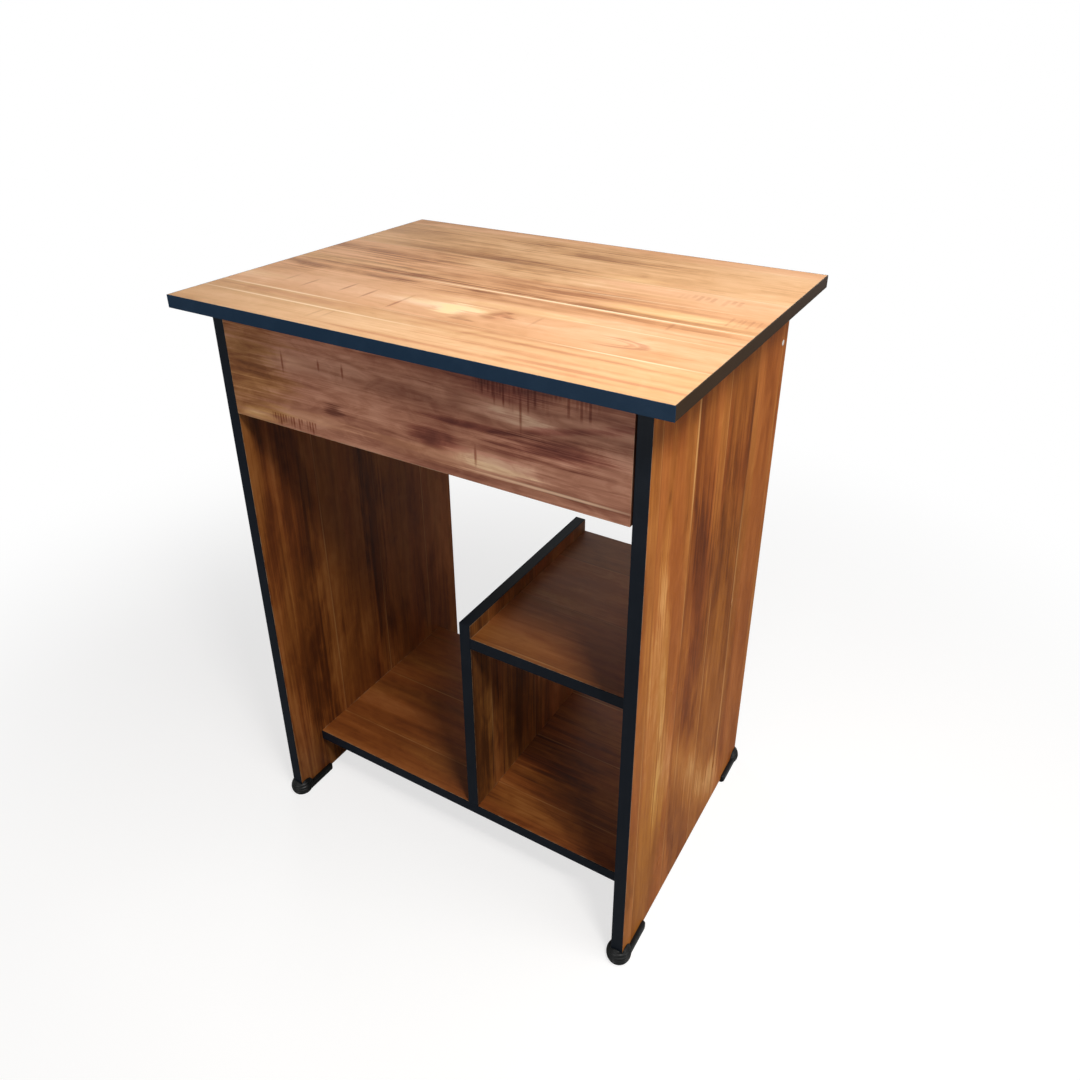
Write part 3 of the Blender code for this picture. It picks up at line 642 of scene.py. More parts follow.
# The middle shelf's fair patch is painted light in its shaded rear part, and its dark patch is painted shade
# towards the right panel.
MIDDLE_PAINTED_LIGHT_AND_SHADE = {
    Blot.FAIR: ((0.09, 0.03, 0.1, 0.13, 0.55),),
    Blot.DARK: ((0.23, 0.06, 0.05, 0.12, 0.25),),
}
# The divider's dark patches are painted shade in its bay, and its fair patch is painted light at its upper
# rear.
DIVIDER_PAINTED_LIGHT_AND_SHADE = {
    Blot.DARK: ((0.15, -0.03, 0.11, 0.07, 0.62), (0.18, -0.14, 0.15, 0.04, 0.65)),
    Blot.FAIR: ((0.25, 0.08, 0.11, 0.06, 0.5),),
}
FRONT_MARKS = {
    Blot.KNOT: ((-0.0995, 0.65, 0.0125, 0.007, 0.7),),
    Blot.RED: (
        (0.032, 0.6485, 0.03, 0.01, 0.75), (0.19, 0.669, 0.075, 0.015, 0.95, 0.1),
        (0.12, 0.724, 0.045, 0.019, 0.9), (0.09, 0.6745, 0.048, 0.0034, 1.0, 0.03),
        (0.185, 0.692, 0.065, 0.0045, 1.0, 0.24),
    ),
    Blot.DARK: (
        (0.195, 0.674, 0.07, 0.013, 0.42, 0.1), (0.2, 0.726, 0.06, 0.012, 0.25),
        (-0.235, 0.69, 0.055, 0.05, 0.32),
    ),
    Blot.FAIR: (
        (0.133, 0.695, 0.058, 0.0105, 1.0, -0.08), (0.22, 0.702, 0.05, 0.006, 0.55, -0.03),
        (0.116, 0.638, 0.06, 0.011, 0.9),
    ),
    Blot.PALE: (
        (0.05, 0.633, 0.09, 0.007, 0.45), (-0.15, 0.693, 0.05, 0.009, 0.3),
        (-0.14, 0.633, 0.06, 0.009, 0.45), (-0.22, 0.62, 0.025, 0.006, 0.55),
    ),
    Blot.LINE: ((0.175, 0.6255, 0.085, 0.0016, 0.75),),
    Blot.GOLD: ((-0.235, 0.675, 0.07, 0.08, 1.0),),
    Blot.TICK: (
        (-0.168, 0.692, 0.0017, 0.013, 0.95), (-0.115, 0.698, 0.0017, 0.007, 0.95),
        (-0.082, 0.697, 0.0017, 0.009, 0.95), (0.136, 0.702, 0.0017, 0.024, 0.95),
        (0.083, 0.642, 0.0017, 0.011, 0.95),
    ),
}
FRONT_COMBS = (
    Comb(0.080, 0.150, 0.738, -0.042, 3.4 * MM, 1.00), Comb(0.088, 0.139, 0.738, -0.034, 4.7 * MM, 1.00),
    Comb(0.145, 0.222, 0.738, -0.036, 4.4 * MM, 0.95), Comb(-0.197, -0.125, 0.628, -0.018, 4.0 * MM, 0.95),
)


class SharedFinish:
    """A finish that several pieces share."""

    name: str

    def material(self) -> bpy.types.Material:
        """Return the material, painted at its first use."""
        ready = bpy.data.materials.get(self.name)
        return ready or self.paint(Graph(bpy.data.materials.new(self.name)))


@dataclass(frozen=True)
class Speckled(SharedFinish):
    """A nearly even finish: moulded plastic, edge tape, plated or cast metal."""

    name: str
    base: Triple
    other: Triple  # the colour of its patches and scuffs
    patch: float  # the size of a patch
    grain: float  # the size of its surface grain
    relief: float  # the height of that grain
    roughness: float  # the middle of its roughness
    swing: float = 0.10  # how far the roughness goes up and down
    metal: float = 0.0  # 1 for a metal
    specular: float = 0.5
    drawn: float = 1.0  # how much longer the grain is along Y

    def paint(self, g: Graph) -> bpy.types.Material:
        """Paint the finish in a graph, and return its material."""
        x, y, z = g.place()
        patches = g.noise((x, y, z), 1 / self.patch, 4.0, 0.6)
        texture = g.noise((x, y * (1 / self.drawn), z), 1 / self.grain, 3.0, 0.6)
        share = g.spread(patches, 0.42, 0.72) * g.spread(texture, 0.30, 0.70)
        colour = g.blend(share * 0.75, self.base, self.other)
        rough = (patches + texture - 0.5) * self.swing + (self.roughness - self.swing / 2)
        plain = {"Metallic": self.metal, "Specular_IOR_Level": self.specular}
        return g.shader(colour, rough, g.bump(texture, self.relief), **plain)


@dataclass(frozen=True)
class PressedFibre(SharedFinish):
    """Hardboard: brown pressed fibre with a fine screen mark."""

    name: str
    base: Triple
    other: Triple
    fibre: float = 1.1 * MM

    def paint(self, g: Graph) -> bpy.types.Material:
        """Paint the finish in a graph, and return its material."""
        point = g.place()
        fibres = g.noise(point, 1 / self.fibre, 5.0, 0.7, 0.8)
        colour = g.blend(g.spread(fibres, 0.30, 0.70), self.base, self.other)
        colour = g.blend(g.noise(point, 30.0, 3.0) * 0.4, colour, HARDBOARD_SHADE, "MULTIPLY")
        return g.shader(colour, fibres * 0.25 + 0.55, g.bump(fibres, 0.00015))


TAPE_GRAIN = (0.030, 0.0007, 0.00003, 0.44, 0.10, 0.0)  # a tape's values from patch to metal
METAL = (0.12, 1.0)  # how far a plated metal's roughness swings, and that it is a metal
NAVY_TAPE = Speckled("navy_tape", (0.0095, 0.029, 0.061), (0.019, 0.043, 0.082), *TAPE_GRAIN, 0.10)
# A warmer copy of the top's tape, for its right edge only: painted warm light on that edge.
PAINTED_WARM_LIGHT_TAPE = Speckled("painted_warm_light_tape", (0.03, 0.016, 0.007), (0.04, 0.022, 0.011), *TAPE_GRAIN, 0.12)
TAPE = Speckled("blue_black_tape", (0.0055, 0.009, 0.015), (0.011, 0.015, 0.022), *TAPE_GRAIN, 0.12)
FOOT = Speckled(
    "foot_plastic", (0.004, 0.0048, 0.0052), (0.013, 0.0155, 0.015), 0.012, 0.0006, 0.00004, 0.40,
    specular=0.26,
)
ZINC = Speckled("zinc_plate", (0.6, 0.6, 0.58), (0.46, 0.47, 0.48), 0.012, 0.0005, 0.00002, 0.30, *METAL)
STRIP = Speckled(
    "slide_plate", (0.57, 0.575, 0.57), (0.42, 0.43, 0.44), 0.030, 0.0006, 0.00002, 0.32, *METAL, drawn=30.0
)
CAGE = Speckled(
    "cage_plate", (0.43, 0.43, 0.42), (0.3, 0.3, 0.3), 0.010, 0.0005, 0.00003, 0.38, *METAL, drawn=30.0
)
BRIGHT = Speckled("ball_steel", (0.7, 0.7, 0.71), (0.56, 0.56, 0.57), 0.002, 0.0003, 0.00001, 0.12, 0.05, 1.0)
CAST = Speckled(
    "cast_zinc", (0.45, 0.455, 0.47), (0.33, 0.335, 0.345), 0.004, 0.0004, 0.00006, 0.48, 0.14, 1.0
)
WHITE_CAP = Speckled("cap_plastic", (0.74, 0.72, 0.68), (0.64, 0.6, 0.54), 0.006, 0.0004, 0.00002, 0.38)
BOARD_SHEET = PressedFibre("pressed_fibre", (0.2, 0.11, 0.055), (0.33, 0.2, 0.11))


@dataclass(frozen=True)
class Shape:
    """Closed shells: points, and faces as rows of point numbers."""

    points: np.ndarray
    faces: tuple[tuple[int, ...], ...]

    def __add__(self, other: Shape) -> Shape:
        """Return both shapes as one."""
        shift = len(self.points)
        moved = tuple(tuple(i + shift for i in face) for face in other.faces)
        return Shape(np.vstack((self.points, other.points)), self.faces + moved)

    def moved(self, offset: Sequence[float]) -> Shape:
        """Return the shape moved by an offset."""
        return Shape(self.points + np.array(offset), self.faces)

    def turned_by(self, turn: Matrix) -> Shape:
        """Return the shape turned by a rotation matrix."""
        return Shape(self.points @ np.array(turn).T, self.faces)

    def set_on(self, place: Vector, axis: Sequence[float]) -> Shape:
        """Return the shape with its origin on a place and its +Z looking along an axis."""
        return self.turned_by(Vector((0, 0, 1)).rotation_difference(Vector(axis)).to_matrix()).moved(place)


def ring_stack(rings: np.ndarray) -> Shape:
    """Skin a stack of closed rings and cap both ends.

    Point j of ring i joins point j + 1 of that ring and both points of ring
    i + 1, with the last column joined to the first.

    Args:
        rings: an array of rings, columns and three coordinates.

    Returns:
        The closed shape.
    """
    rows, columns = rings.shape[:2]
    first = np.arange(columns)
    second = np.roll(first, -1)
    base = (np.arange(rows - 1) * columns)[:, None]
    quads = np.stack((base + first, base + second, base + columns + second, base + columns + first), axis=-1)
    faces = [tuple(quad) for quad in quads.reshape(-1, 4).tolist()]
    faces.append(tuple(first[::-1].tolist()))
    faces.append(tuple((first + (rows - 1) * columns).tolist()))
    return Shape(rings.reshape(-1, 3), tuple(faces))


def rounded_box(low: Sequence[float], high: Sequence[float], radius: float, steps: int = 3) -> Shape:
    """Return a box with round edges and corners.

    A sphere's grid of latitude and longitude is pulled apart: each eighth of
    the sphere moves to its own corner of the box less the radius, so the
    surface is corner + radius * (cos a cos b, cos a sin b, sin a).

    Args:
        low: the lowest corner.
        high: the highest corner.
        radius: the edges' radius.
        steps: segments in each quarter round.

    Returns:
        The closed shape.
    """
    quarter = np.linspace(0, math.pi / 2, steps + 1)
    latitude = np.concatenate((quarter - math.pi / 2, quarter))
    longitude = np.concatenate([quarter + k * math.pi / 2 for k in range(4)])
    way_x = np.repeat((1.0, -1.0, -1.0, 1.0), steps + 1)
    way_y = np.repeat((1.0, 1.0, -1.0, -1.0), steps + 1)
    way_z = np.repeat((-1.0, 1.0), steps + 1)
    low, high = np.array(low, float), np.array(high, float)
    middle, inner = (low + high) / 2, (high - low) / 2 - radius
    level = np.cos(latitude)[:, None]
    x = middle[0] + way_x * inner[0] + radius * level * np.cos(longitude)
    y = middle[1] + way_y * inner[1] + radius * level * np.sin(longitude)
    z = middle[2] + way_z * inner[2] + radius * np.sin(latitude)
    return ring_stack(np.stack((x, y, z[:, None] * np.ones_like(longitude)), axis=-1))


def drawn_bar(outline: np.ndarray, start: float, end: float, ease: float) -> Shape:
    """Draw a closed outline along Y, with its ends eased.

    The ring at each end is the outline pulled towards its own middle line by
    the ease, over the same length.

    Args:
        outline: points of X and Z, in order.
        start: the lowest Y.
        end: the highest Y.
        ease: how much the ends are eased.

    Returns:
        The closed shape.
    """
    before, after = np.roll(outline, 1, axis=0), np.roll(outline, -1, axis=0)
    run = after - before
    normal = np.stack((run[:, 1], -run[:, 0]), axis=-1)
    normal /= np.linalg.norm(normal, axis=1, keepdims=True)
    area = np.sum(outline[:, 0] * after[:, 1] - after[:, 0] * outline[:, 1])
    inward = outline - math.copysign(ease, area) * normal
    levels = ((start, inward), (start + ease, outline), (end - ease, outline), (end, inward))
    rings = [np.column_stack((flat[:, 0], np.full(len(flat), y), flat[:, 1])) for y, flat in levels]
    return ring_stack(np.stack(rings))


class Outline(Enum):
    """The shape of a ring in a turned piece."""

    ROUND = "round"
    HEXAGON = "hexagon"
    CROSS = "cross"


def ring_radius(outline: Outline, size: float, angle: np.ndarray, arm: float) -> np.ndarray:
    """Return a ring's radius at each angle.

    A hexagon is its flat's distance over the cosine from that flat's middle.
    A cross is the nearer of an arm's end and an arm's side.

    Args:
        outline: the ring's shape.
        size: the radius, the distance of a flat or the length of an arm.
        angle: the angles.
        arm: half the width of a cross's arm.

    Returns:
        The radii.
    """
    if outline is Outline.ROUND:
        return np.full_like(angle, size)
    sector = math.pi / 3 if outline is Outline.HEXAGON else math.pi / 2
    off = np.abs((angle + sector / 2) % sector - sector / 2)
    flat = size / np.cos(off)
    return flat if outline is Outline.HEXAGON else np.minimum(flat, arm / np.maximum(np.sin(off), 0.02))


def turned(profile: Sequence[tuple], sides: int, arm: float = 0.0) -> Shape:
    """Turn a profile about +Z.

    Args:
        profile: radius and height of each ring in millimetres, from one end
            to the other, with the ring's Outline where it isn't round.
        sides: points in each ring.
        arm: half the width of a cross's arm, in millimetres.

    Returns:
        The closed shape, in metres.
    """
    angle = np.linspace(0, math.tau, sides, endpoint=False)
    rings = []
    for radius, height, *rest in profile:
        across = ring_radius(rest[0] if rest else Outline.ROUND, radius, angle, arm)
        level = np.full(sides, height)
        rings.append(np.column_stack((across * np.cos(angle), across * np.sin(angle), level)))
    return ring_stack(np.stack(rings) * MM)


def arc(middle: tuple[float, float], radius: float, start: float, end: float, steps: int) -> np.ndarray:
    """Return points along a flat arc, with its angles in degrees."""
    angle = np.radians(np.linspace(start, end, steps + 1))
    return np.column_stack((middle[0] + radius * np.cos(angle), middle[1] + radius * np.sin(angle)))


def end_face(name: str, way: int) -> Vector:
    """Return the middle of the side of a node's box that looks along way on X, -1 or 1."""
    low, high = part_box(name)
    return Vector((high.x if way > 0 else low.x, (low.y + high.y) / 2, (low.z + high.z) / 2))


@dataclass
class SubAssembly:
    """A group of pieces that is built and dressed together."""

    nodes: dict[str, bpy.types.Object]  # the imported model's own objects by node name

    def piece(
        self, name: str, shape: Shape, material: bpy.types.Material, body: Body, slot: Slot,
        replaces: str = "", crease: float = 40.0,
    ) -> None:
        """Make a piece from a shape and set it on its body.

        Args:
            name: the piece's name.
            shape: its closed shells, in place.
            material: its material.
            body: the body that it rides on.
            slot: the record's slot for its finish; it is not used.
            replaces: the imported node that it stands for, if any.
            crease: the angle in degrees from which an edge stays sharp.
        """
        mesh = bpy.data.meshes.new(name)
        mesh.from_pydata(shape.points, [], shape.faces)
        work = bmesh.new()
        work.from_mesh(mesh)
        bmesh.ops.remove_doubles(work, verts=work.verts, dist=0.002 * MM)
        bmesh.ops.dissolve_degenerate(work, edges=work.edges, dist=0.001 * MM)
        bmesh.ops.recalc_face_normals(work, faces=work.faces)
        work.to_mesh(mesh)
        work.free()
        mesh.shade_smooth()
        mesh.set_sharp_from_angle(angle=math.radians(crease))
        mesh.materials.append(material)
        made = bpy.data.objects.new(name, mesh)
        bpy.context.scene.collection.objects.link(made)
        made.modifiers.new("face_weights", "WEIGHTED_NORMAL").keep_sharp = True
        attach(made, body.value)
        if replaces:
            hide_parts(replaces)
        LOG.info("%s: %d faces on %s", name, len(mesh.polygons), body.value)

    def dress(self, name: str, material: bpy.types.Material) -> None:
        """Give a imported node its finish."""
        mesh = self.nodes[name].data
        mesh.materials.clear()
        mesh.materials.append(material)
        LOG.info("%s: dressed in %s", name, material.name)

    def dress_board(self, name: str, finish: PlankPrint) -> bpy.types.Material:
        """Give a packed board its own plank print, and return the material."""
        material = finish.paint(*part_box(name))
        self.dress(name, material)
        return material


@dataclass
class Boards(SubAssembly):
    """The top, side panels, shelves, divider and rear rail."""

    def build(self) -> dict[str, bpy.types.Material]:
        """Dress every board, and return the materials by board, for the covers that match them."""
        prints = {
            "table_top": ("top", GOLDEN, LEVEL, -0.0335, 0.1135, 3.0, SOFT, TOP_MARKS, TOP_COMBS, None, 0.20),
            "side_panel_right": (
                "right", ORANGE, UPRIGHT, -0.0835, 0.0888, 11.0, EVEN, RIGHT_MARKS, (), None, 0.11
            ),
            # The left panel, shelves and rear rail take the darker brown tones, which paint shade on them;
            # the marks of the shelves and divider paint shade and light.
            "side_panel_left": ("left", SHADED_BROWN, UPRIGHT, -0.09, 0.107, 23.0, CALM, LEFT_MARKS, (), None, 0.32),
            "bottom_shelf": (
                "bottom", SHADED_BROWN, LEVEL, -0.0935, 0.105, 31.0, CALM, BOTTOM_PAINTED_SHADE, (), None, 0.34
            ),
            "middle_shelf": ("middle", SHADED_BROWN, LEVEL, -0.033, 0.105, 43.0, CALM, MIDDLE_PAINTED_LIGHT_AND_SHADE, (), None, 0.45),
            "divider": ("divider", AMBER, UPRIGHT, -0.103, 0.107, 53.0, PLAIN, DIVIDER_PAINTED_LIGHT_AND_SHADE, (), None, 0.40),
            "rear_rail": ("rail", SHADED_BROWN, CROSSWISE, 0.654, 0.107, 61.0),
        }
        return {
            board: self.dress_board(board, PlankPrint(stem + "_print", *rest))
            for board, (stem, *rest) in prints.items()
        }


@dataclass
class EdgeTapes(SubAssembly):
    """The tapes on the edges of the boards."""

    rounding: float = 0.35 * MM  # the radius of a tape's arrises
    glue: float = 0.3 * MM  # the gap between a packed tape and its board, which the tape here fills

    def build(self) -> None:
        """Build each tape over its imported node, grown towards its board over the glue line."""
        inward = {
            "top_band_rear": (Axis.Y, -1),
            "top_band_left": (Axis.X, 1),
            "top_band_right": (Axis.X, -1),
            "divider_band_top": (Axis.Z, -1),
        }
        for name in (node for node in self.nodes if "band" in node):
            axis, way = inward.get(name, (Axis.Y, 1))
            low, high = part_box(name)
            (high if way > 0 else low)[axis.value] += way * self.glue
            shape, material = rounded_box(low, high, self.rounding), self.finish(name).material()
            self.piece(name + "_tape", shape, material, Body.CARCASS, Slot.TAPE, name)

    def finish(self, name: str) -> Speckled:
        """Return a tape's finish: the top's is bluer, and its right edge takes a warmer copy of it, painted
        warm light.
        """
        if name == "top_band_right":
            return PAINTED_WARM_LIGHT_TAPE
        return NAVY_TAPE if name.startswith("top_band") else TAPE


@dataclass
class Drawer(SubAssembly):
    """The drawer's front, sides, back and sheet."""

    easing: float = 0.45 * MM  # the radius of the front's arrises

    def build(self) -> None:
        """Dress the drawer's boards, and round the front's arrises a little."""
        prints = {
            "drawer_front": (
                ROSY, CROSSWISE, 0.584, 0.190, 71.0, STRONG, FRONT_MARKS, FRONT_COMBS, FRONT_EDGE
            ),
            "drawer_side_left": (AMBER, BACKWARD, 0.600, 0.150, 81.0),
            "drawer_side_right": (AMBER, BACKWARD, 0.600, 0.150, 88.0),
            "drawer_back": (AMBER, CROSSWISE, 0.600, 0.150, 95.0),
        }
        for board, rest in prints.items():
            self.dress_board(board, PlankPrint(board + "_print", *rest))
        self.dress("drawer_bottom", BOARD_SHEET.material())
        front = self.nodes["drawer_front"]
        front.modifiers.new("joined", "WELD").merge_threshold = 0.01 * MM
        bevel = front.modifiers.new("eased", "BEVEL")
        bevel.width, bevel.segments, bevel.harden_normals = self.easing, 2, True
        bevel.limit_method, bevel.angle_limit = "ANGLE", math.radians(60)


@dataclass
class Slides(SubAssembly):
    """The two ball slides, with their cages and screws."""

    steel: float = 1.0 * MM  # the thickness of the members' steel
    cage_steel: float = 0.6 * MM  # the thickness of a cage's steel
    bend: float = 1.5 * MM  # the outer radius of a member's bends
    lip: float = 1.0 * MM  # how far the lips of a cabinet member's flanges turn in
    balls: int = 8  # the balls in one row
    cage_end: float = 12.0 * MM  # how far the first ball is from the cage's end
    ball: float = 1.45 * MM  # the radius of a ball
    head: float = 3.0  # the radius of a screw's head, in millimetres
    rise: float = 0.25  # how far the oval head stands over the web, in millimetres

    def build(self) -> None:
        """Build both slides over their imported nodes."""
        for side, way in SIDES:
            self.member("slide_cabinet_member_" + side, way, Body.CARCASS, self.lip)
            self.member("slide_drawer_member_" + side, -way, Body.DRAWER, 0.0)
            self.cage("slide_ball_cage_" + side, way, Body.CAGE_LEFT if way < 0 else Body.CAGE_RIGHT)
            for end in ENDS:
                self.screw(f"cabinet_screw_{side}_{end}", -way, Body.CARCASS)
                self.screw(f"drawer_screw_{side}_{end}", way, Body.DRAWER)

    def channel(self, low: Vector, high: Vector, way: int, steel: float, lip: float) -> np.ndarray:
        """Return the outline of a formed channel with round bends.

        The outline runs down the inside and back up the outside. Each corner
        is an arc, of the bend's radius outside and of the bend less the steel
        inside.

        Args:
            low: the lowest corner of the channel's box.
            high: the highest corner of that box.
            way: -1 or 1, the side that the web is on.
            steel: the thickness.
            lip: how far the lips of the flanges turn in.

        Returns:
            Points of X and Z.
        """
        depth, half = high.x - low.x, (high.z - low.z) / 2
        inner = max(self.bend - steel, 0.25 * MM)
        inside = half - steel
        upper = [arc((self.bend, half - self.bend), self.bend, 180, 90, 4)]
        if lip > 0:
            upper.append(arc((depth - self.bend, half - self.bend), self.bend, 90, 0, 4))
            upper.append(arc((depth - steel / 2, inside - lip + steel / 2), steel / 2, 0, -180, 6))
            upper.append(arc((depth - steel - inner, inside - inner), inner, 0, 90, 3))
        else:
            upper.append(arc((depth - steel / 2, half - steel / 2), steel / 2, 90, -90, 6))
        upper.append(arc((steel + inner, inside - inner), inner, 90, 180, 3))
        side = np.vstack(upper)
        outline = np.vstack((side, side[::-1] * (1.0, -1.0)))
        across = high.x - outline[:, 0] if way > 0 else low.x + outline[:, 0]
        return np.column_stack((across, (low.z + high.z) / 2 + outline[:, 1]))

    def member(self, name: str, way: int, body: Body, lip: float) -> None:
        """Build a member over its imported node, with its web on the side of way."""
        low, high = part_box(name)
        shape = drawn_bar(self.channel(low, high, way, self.steel, lip), low.y, high.y, 0.12 * MM)
        self.piece(name + "_rail", shape, STRIP.material(), body, Slot.ZINC, name)

    def cage(self, name: str, way: int, body: Body) -> None:
        """Build a cage strip with its two rows of balls.

        Args:
            name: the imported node.
            way: -1 or 1, the side that its web is on.
            body: the body that it rides on.
        """
        low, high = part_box(name)
        middle, height = (low.x + high.x) / 2, (low.z + high.z) / 2
        rows = (high.z - low.z) / 2 - self.ball
        strip_low = Vector((low.x, low.y, height - rows - self.cage_steel / 2))
        strip_high = Vector((high.x, high.y, height + rows + self.cage_steel / 2))
        outline = self.channel(strip_low, strip_high, way, self.cage_steel, 0.0)
        strip = drawn_bar(outline, low.y, high.y, 0.08 * MM)
        self.piece(name + "_strip", strip, CAGE.material(), body, Slot.CAGE, name)
        radius = self.ball / MM
        ball = turned([(math.sin(a) * radius, -math.cos(a) * radius) for a in np.linspace(0.12, 3.02, 9)], 16)
        spots = np.linspace(low.y + self.cage_end, high.y - self.cage_end, self.balls)
        first, *others = [ball.moved((middle, y, height + turn * rows)) for y in spots for turn in (-1, 1)]
        self.piece(name + "_balls", sum(others, first), BRIGHT.material(), body, Slot.CAGE)

    def screw(self, name: str, way: int, body: Body) -> None:
        """Build an oval-head screw of a member.

        The head is a flat arc turned round, and its recess is a cross whose
        arms get shorter with depth.

        Args:
            name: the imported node.
            way: -1 or 1, the side that the head looks to.
            body: the body that it rides on.
        """
        low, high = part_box(name)
        length, radius, core, rise = (high.x - low.x) / MM, self.head, self.head / 2, self.rise
        profile = [
            (0.02, -length), (0.55 * core, -length + 0.2), (core, -length + 1.6), (core, -2.0),
            (radius - 0.1, -0.4), (radius, -0.1), (radius, 0.05), (0.93 * radius, 0.55 * rise),
            (0.80 * radius, 0.85 * rise), (0.66 * radius, rise), (0.56 * radius, rise, Outline.CROSS),
            (0.46 * radius, -0.7, Outline.CROSS), (0.04, -1.1, Outline.CROSS),
        ]
        shape = turned(profile, 64, arm=0.42).set_on(end_face(name, way), (way, 0, 0))
        self.piece(name + "_oval", shape, ZINC.material(), body, Slot.ZINC, name)


@dataclass
class Connectors(SubAssembly):
    """The connector screws of the boards, and what covers their heads, in millimetres."""

    prints: dict[str, bpy.types.Material] = field(default_factory=dict)  # the materials by board
    cover: float = 6.5  # the radius of a stick-on cover
    rise: float = 0.30  # how thick a cover is
    socket: float = 2.0  # half the width across the flats of a screw's hexagon socket
    plug: float = 3.7  # the radius of a domed plug
    far: float = 100.0 * MM  # further from X = 0 than this, in metres, a screw is in a side panel

    def build(self) -> None:
        """Build every screw, its cover and the rail screws' plugs."""
        stems = ("bottom_shelf_screw", "middle_shelf_screw", "divider_screw", "rail_screw")
        for name in sorted(node for node in self.nodes if node.startswith(stems)):
            low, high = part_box(name)
            middle = (low + high) / 2
            if name.startswith("divider_screw"):
                self.screw(name, Vector((middle.x, middle.y, low.z)), (0, 0, -1))
                continue
            way = 1 if middle.x > self.far else -1
            face = end_face(name, way)
            self.screw(name, face, (way, 0, 0))
            board = "divider" if abs(face.x) < self.far else f"side_panel_{'right' if way > 0 else 'left'}"
            face.x = end_face(board, way).x
            shape = turned(self.cover_profile(), 48).set_on(face, (way, 0, 0))
            slot = Slot.INSIDE if board == "divider" else Slot.SIDE
            self.piece(name + "_cover", shape, self.prints[board], Body.CARCASS, slot)
            if name.startswith("rail_screw"):
                shape = turned(self.plug_profile(), 48).set_on(face, (way, 0, 0))
                self.piece(name + "_cap", shape, WHITE_CAP.material(), Body.CARCASS, Slot.SIDE)

    def screw(self, name: str, face: Vector, way: Triple) -> None:
        """Build a connector screw with a hexagon socket and a wavy thread.

        Args:
            name: the screw's node.
            face: the middle of its head's face.
            way: the direction that the head looks to.
        """
        profile = [(0.3, -50.0), (1.6, -49.6)]
        for height in np.arange(-49.0, -12.0, 1.5):
            profile += [(2.35, height), (2.50, height + 0.5), (2.35, height + 1.0)]
        profile += [(2.5, -11.2), (3.3, -11.0), (3.5, -10.8), (3.5, -3.0)]
        profile += [(4.9, -1.0), (5.0, -0.8), (5.0, -0.2), (4.8, 0.0)]
        socket = ((self.socket + 0.15, 0.0), (self.socket, -0.15), (self.socket, -2.6), (0.05, -3.4))
        profile += [(*ring, Outline.HEXAGON) for ring in socket]
        shape = turned(profile, 48).set_on(face, way)
        self.piece(name + "_socket", shape, ZINC.material(), Body.CARCASS, Slot.ZINC, name)

    def cover_profile(self) -> list[tuple[float, float]]:
        """Return the profile of a thin stick-on cover over a screw's head."""
        radius, rise = self.cover, self.rise
        rim = [(radius, 0.02), (radius, 0.4 * rise), (radius - 0.15, 0.8 * rise), (radius - 0.5, rise)]
        return [(0.05, 0.02), *rim, (0.05, rise)]

    def plug_profile(self) -> list[tuple[float, float]]:
        """Return the profile of a pale domed plug: an arc on a short rim."""
        angles = np.linspace(0, math.pi / 2 - 0.02, 7)
        dome = [(self.plug * math.cos(a), 0.45 + 0.65 * math.sin(a)) for a in angles]
        return [(0.05, self.rise), (self.plug, self.rise), *dome]


@dataclass
class CamFittings(SubAssembly):
    """The cams in the side panels and their bolts in the top, in millimetres."""

    rim: float = 1.1  # the width of the cam's raised rim
    recess: float = 3.2  # how deep the cross recess is

    def build(self) -> None:
        """Build a cam over each packed one, and dress the bolts."""
        for side, way in SIDES:
            for end in ENDS:
                self.cam(f"cam_lock_{side}_{end}", -way)
                self.dress(f"cam_bolt_{side}_{end}", ZINC.material())

    def cam(self, name: str, way: int) -> None:
        """Build a cast cam, a disc with a raised rim and a cross recess, that looks along way on X."""
        low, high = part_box(name)
        radius, depth = (high.y - low.y) / 2 / MM, (high.x - low.x) / MM
        profile = [
            (0.05, -depth), (radius - 0.6, -depth), (radius - 0.1, -depth + 0.6), (radius - 0.1, -1.4),
            (radius, -1.2), (radius, -0.3), (radius - 0.3, 0.0), (radius - self.rim, 0.0),
            (radius - self.rim - 0.3, -0.5), (4.6, -0.5, Outline.CROSS), (4.2, -self.recess, Outline.CROSS),
            (0.05, -self.recess - 0.5, Outline.CROSS),
        ]
        shape = turned(profile, 96, arm=0.75).set_on(end_face(name, way), (way, 0, 0))
        self.piece(name + "_casting", shape, CAST.material(), Body.CARCASS, Slot.CAST, name)


